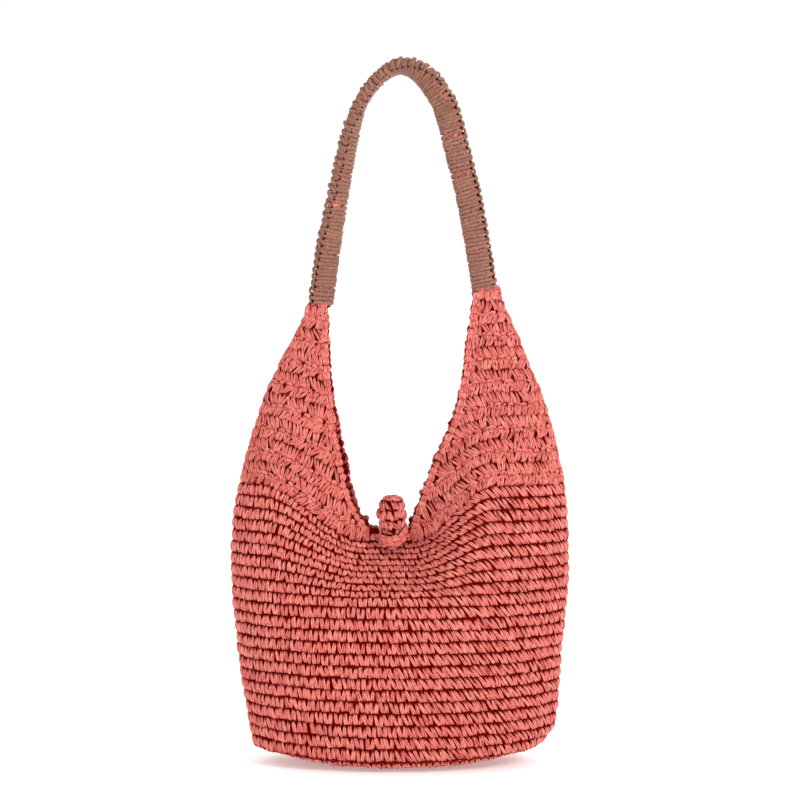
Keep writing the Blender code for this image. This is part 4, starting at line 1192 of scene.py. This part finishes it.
def make_pocket_pouch():
    """The pocket's bag, a strip that hangs from the zip and is folded up behind itself."""
    top, low = ZIP_Z - ZIP_HALF_HEIGHT - .003, POCKET_LOW + .006
    half_gap = .00055
    run, fold = top - low - half_gap, np.pi * half_gap

    def pouch(x, s, depth):
        """Down the front layer, round the fold at the bottom, up the back one."""
        turn = np.clip((s - run) / fold, 0, 1) * np.pi
        out = half_gap + depth
        y = POCKET_Y + .0026 - np.cos(turn) * out + .0001 * np.sin(x * 260)
        z = np.where(s < run, top - s, low + half_gap - np.sin(turn) * out)
        z = np.where(s > run + fold, low + half_gap + (s - run - fold), z)
        return np.stack([x, y, z], -1)

    steps = np.concatenate([np.linspace(0, run, 14), run + np.linspace(0, fold, 7)[1:],
                            run + fold + np.linspace(0, run, 14)[1:]])
    bag = cloth_slab("pocket_pouch", np.linspace(-.042, .042, 30), steps, pouch, .0007, lining_look,
                     "pocket_bag")


def make_zip_tape(name, side):
    inner, outer = ZIP_Z + side * TAPE_GAP, ZIP_Z + side * ZIP_HALF_HEIGHT
    rib = inner + side * .0005
    half = ZIP_HALF_LENGTH + .0025

    def ribbed(x, z, depth):
        bulge = np.exp(-((z - rib) / .00035) ** 2)
        weave = .00003 * np.sin(x * 5200)
        return np.stack([x, ZIP_Y + depth * (1 + .55 * bulge) + weave * np.sign(depth), z], -1)

    cloth_slab("zip_tape_cloth_" + name, np.linspace(-half, half, 220), np.sort(np.linspace(inner, outer, 8)),
               ribbed, .00062, tape_look, "zip_tape_" + name)
    make_teeth(name, side)


def bevelled(boxes, bevel):
    """Boxes with rounded edges in one mesh, as vertices and quads."""
    bm = bmesh.new()
    for size, centre in boxes:
        place = Matrix.Translation(centre) @ Matrix.Diagonal((*size, 1))
        made = bmesh.ops.create_cube(bm, size=1, matrix=place)
        edges = list({e for v in made["verts"] for e in v.link_edges})
        bmesh.ops.bevel(bm, geom=edges, offset=bevel, segments=2, affect="EDGES", profile=.5)
    mesh = bpy.data.meshes.new("bevelled")
    bm.to_mesh(mesh)
    bm.free()
    return mesh


def metal_piece(name, boxes, bevel, body, node):
    mesh = bevelled(boxes, bevel)
    mesh.shade_smooth()
    mesh.materials.append(brass)
    stands_for(in_scene(name, mesh), body, [node])


TEETH = 46                   # on each tape


def make_teeth(name, side):
    """Cast teeth clamped on the tape's rib, each with a narrower tip, staggered against the other tape's."""
    pitch = 2 * ZIP_HALF_LENGTH / TEETH
    boxes = []
    for k in range(TEETH):
        x = -ZIP_HALF_LENGTH + pitch * (k + (.30 if side > 0 else .70))
        boxes.append(((.00085, .0014, .00075), (x, ZIP_Y, ZIP_Z + side * .00095)))
        boxes.append(((.00060, .0009, .00070), (x, ZIP_Y, ZIP_Z + side * .00045)))
    metal_piece("zip_teeth_row_" + name, boxes, .00012, "bag", "zip_teeth_" + name)


def make_zip_hardware():
    for name, side in (("start", -1), ("end", 1)):
        x = side * (ZIP_HALF_LENGTH + .0012)
        metal_piece("zip_stop_clip_" + name, [((.0015, .0017, .0027), (x, ZIP_Y, ZIP_Z))], .0003, "bag",
                    "zip_stop_" + name)
    x, face = ZIP_HALF_LENGTH - .0050, POCKET_Y - .0003
    slider = [((.0080, .0011, .0046), (x, face - .0006, ZIP_Z)),
              ((.0050, .0011, .0068), (x + .0014, face - .0006, ZIP_Z)),
              ((.0012, .0027, .0012), (x - .0028, face - .0021, ZIP_Z)),
              ((.0012, .0027, .0012), (x + .0028, face - .0021, ZIP_Z)),
              ((.0068, .0009, .0012), (x, face - .0038, ZIP_Z))]
    metal_piece("zip_slider_cast", slider, .0003, "zip_slider", "zip_slider")
    y = face - .0024
    puller = [((.0008, .0008, .0044), (x, y, ZIP_Z)),
              ((.0052, .0008, .0008), (x - .0024, y, ZIP_Z + .0018)),
              ((.0052, .0008, .0008), (x - .0024, y, ZIP_Z - .0018)),
              ((.0030, .0009, .0046), (x - .0060, y, ZIP_Z)),
              ((.0125, .0009, .0016), (x - .0130, y, ZIP_Z + .0016)),
              ((.0125, .0009, .0016), (x - .0130, y, ZIP_Z - .0016)),
              ((.0026, .0009, .0050), (x - .0199, y, ZIP_Z)),
              ((.0020, .0009, .0030), (x - .0130, y, ZIP_Z))]
    metal_piece("zip_puller_tab", puller, .00022, "zip_puller", "zip_puller")


def make_label():
    """A blank satin label with a slight curl."""
    angle, row = np.radians(62.0), 15.0

    def inside_wall(depth):
        return body_cloth.on(np.array([angle]), np.array([row]), np.array([LINING_OFFSET - depth]))[0]

    at = inside_wall(.0042)
    out = unit(at - inside_wall(.0062))
    turn = np.array(Vector(out).to_track_quat("Y", "Z").to_matrix())

    def curled(x, z, depth):
        curl = .0008 * np.sin((z + .013) * 90) - .00035 + .00005 * np.sin(x * 900)
        return at + np.stack([x, depth + curl, z], -1) @ turn.T

    label = cloth_slab("care_label_blank", np.linspace(-.008, .008, 14), np.linspace(-.013, .013, 22),
                       curled, .0003, label_look, "care_label")


make_base()
make_bucket()
# Dark straw layers behind the stitches: painted shade in the gaps between stitches
shell_piece("bucket_backing", body_cloth, np.linspace(.15, 23.1, 36), 120, -.0032, .0009, straw,
            nodes=["body_wall"])
shell_piece("base_backing", base_cloth, np.linspace(-BASE_RINGS + .3, -.1, 14), 90, -.0026, .0009, straw,
            nodes=["base_panel"])
make_wing(-1, "left")
make_wing(1, "right")
make_edging(True)
make_edging(False)
strap = strap_path()
make_wrap(strap)
make_hitches(strap)
make_strap_band(strap)
make_knob()
make_stem()
make_loop()
make_loop_ends()
lining_base_cloth = Cloth(lining_floor_surface, round_angle, np.linspace(.05, .95, 15))
make_lining()
make_pocket_face()
make_pocket_pouch()
make_zip_tape("upper", 1)
make_zip_tape("lower", -1)
make_zip_hardware()
make_label()
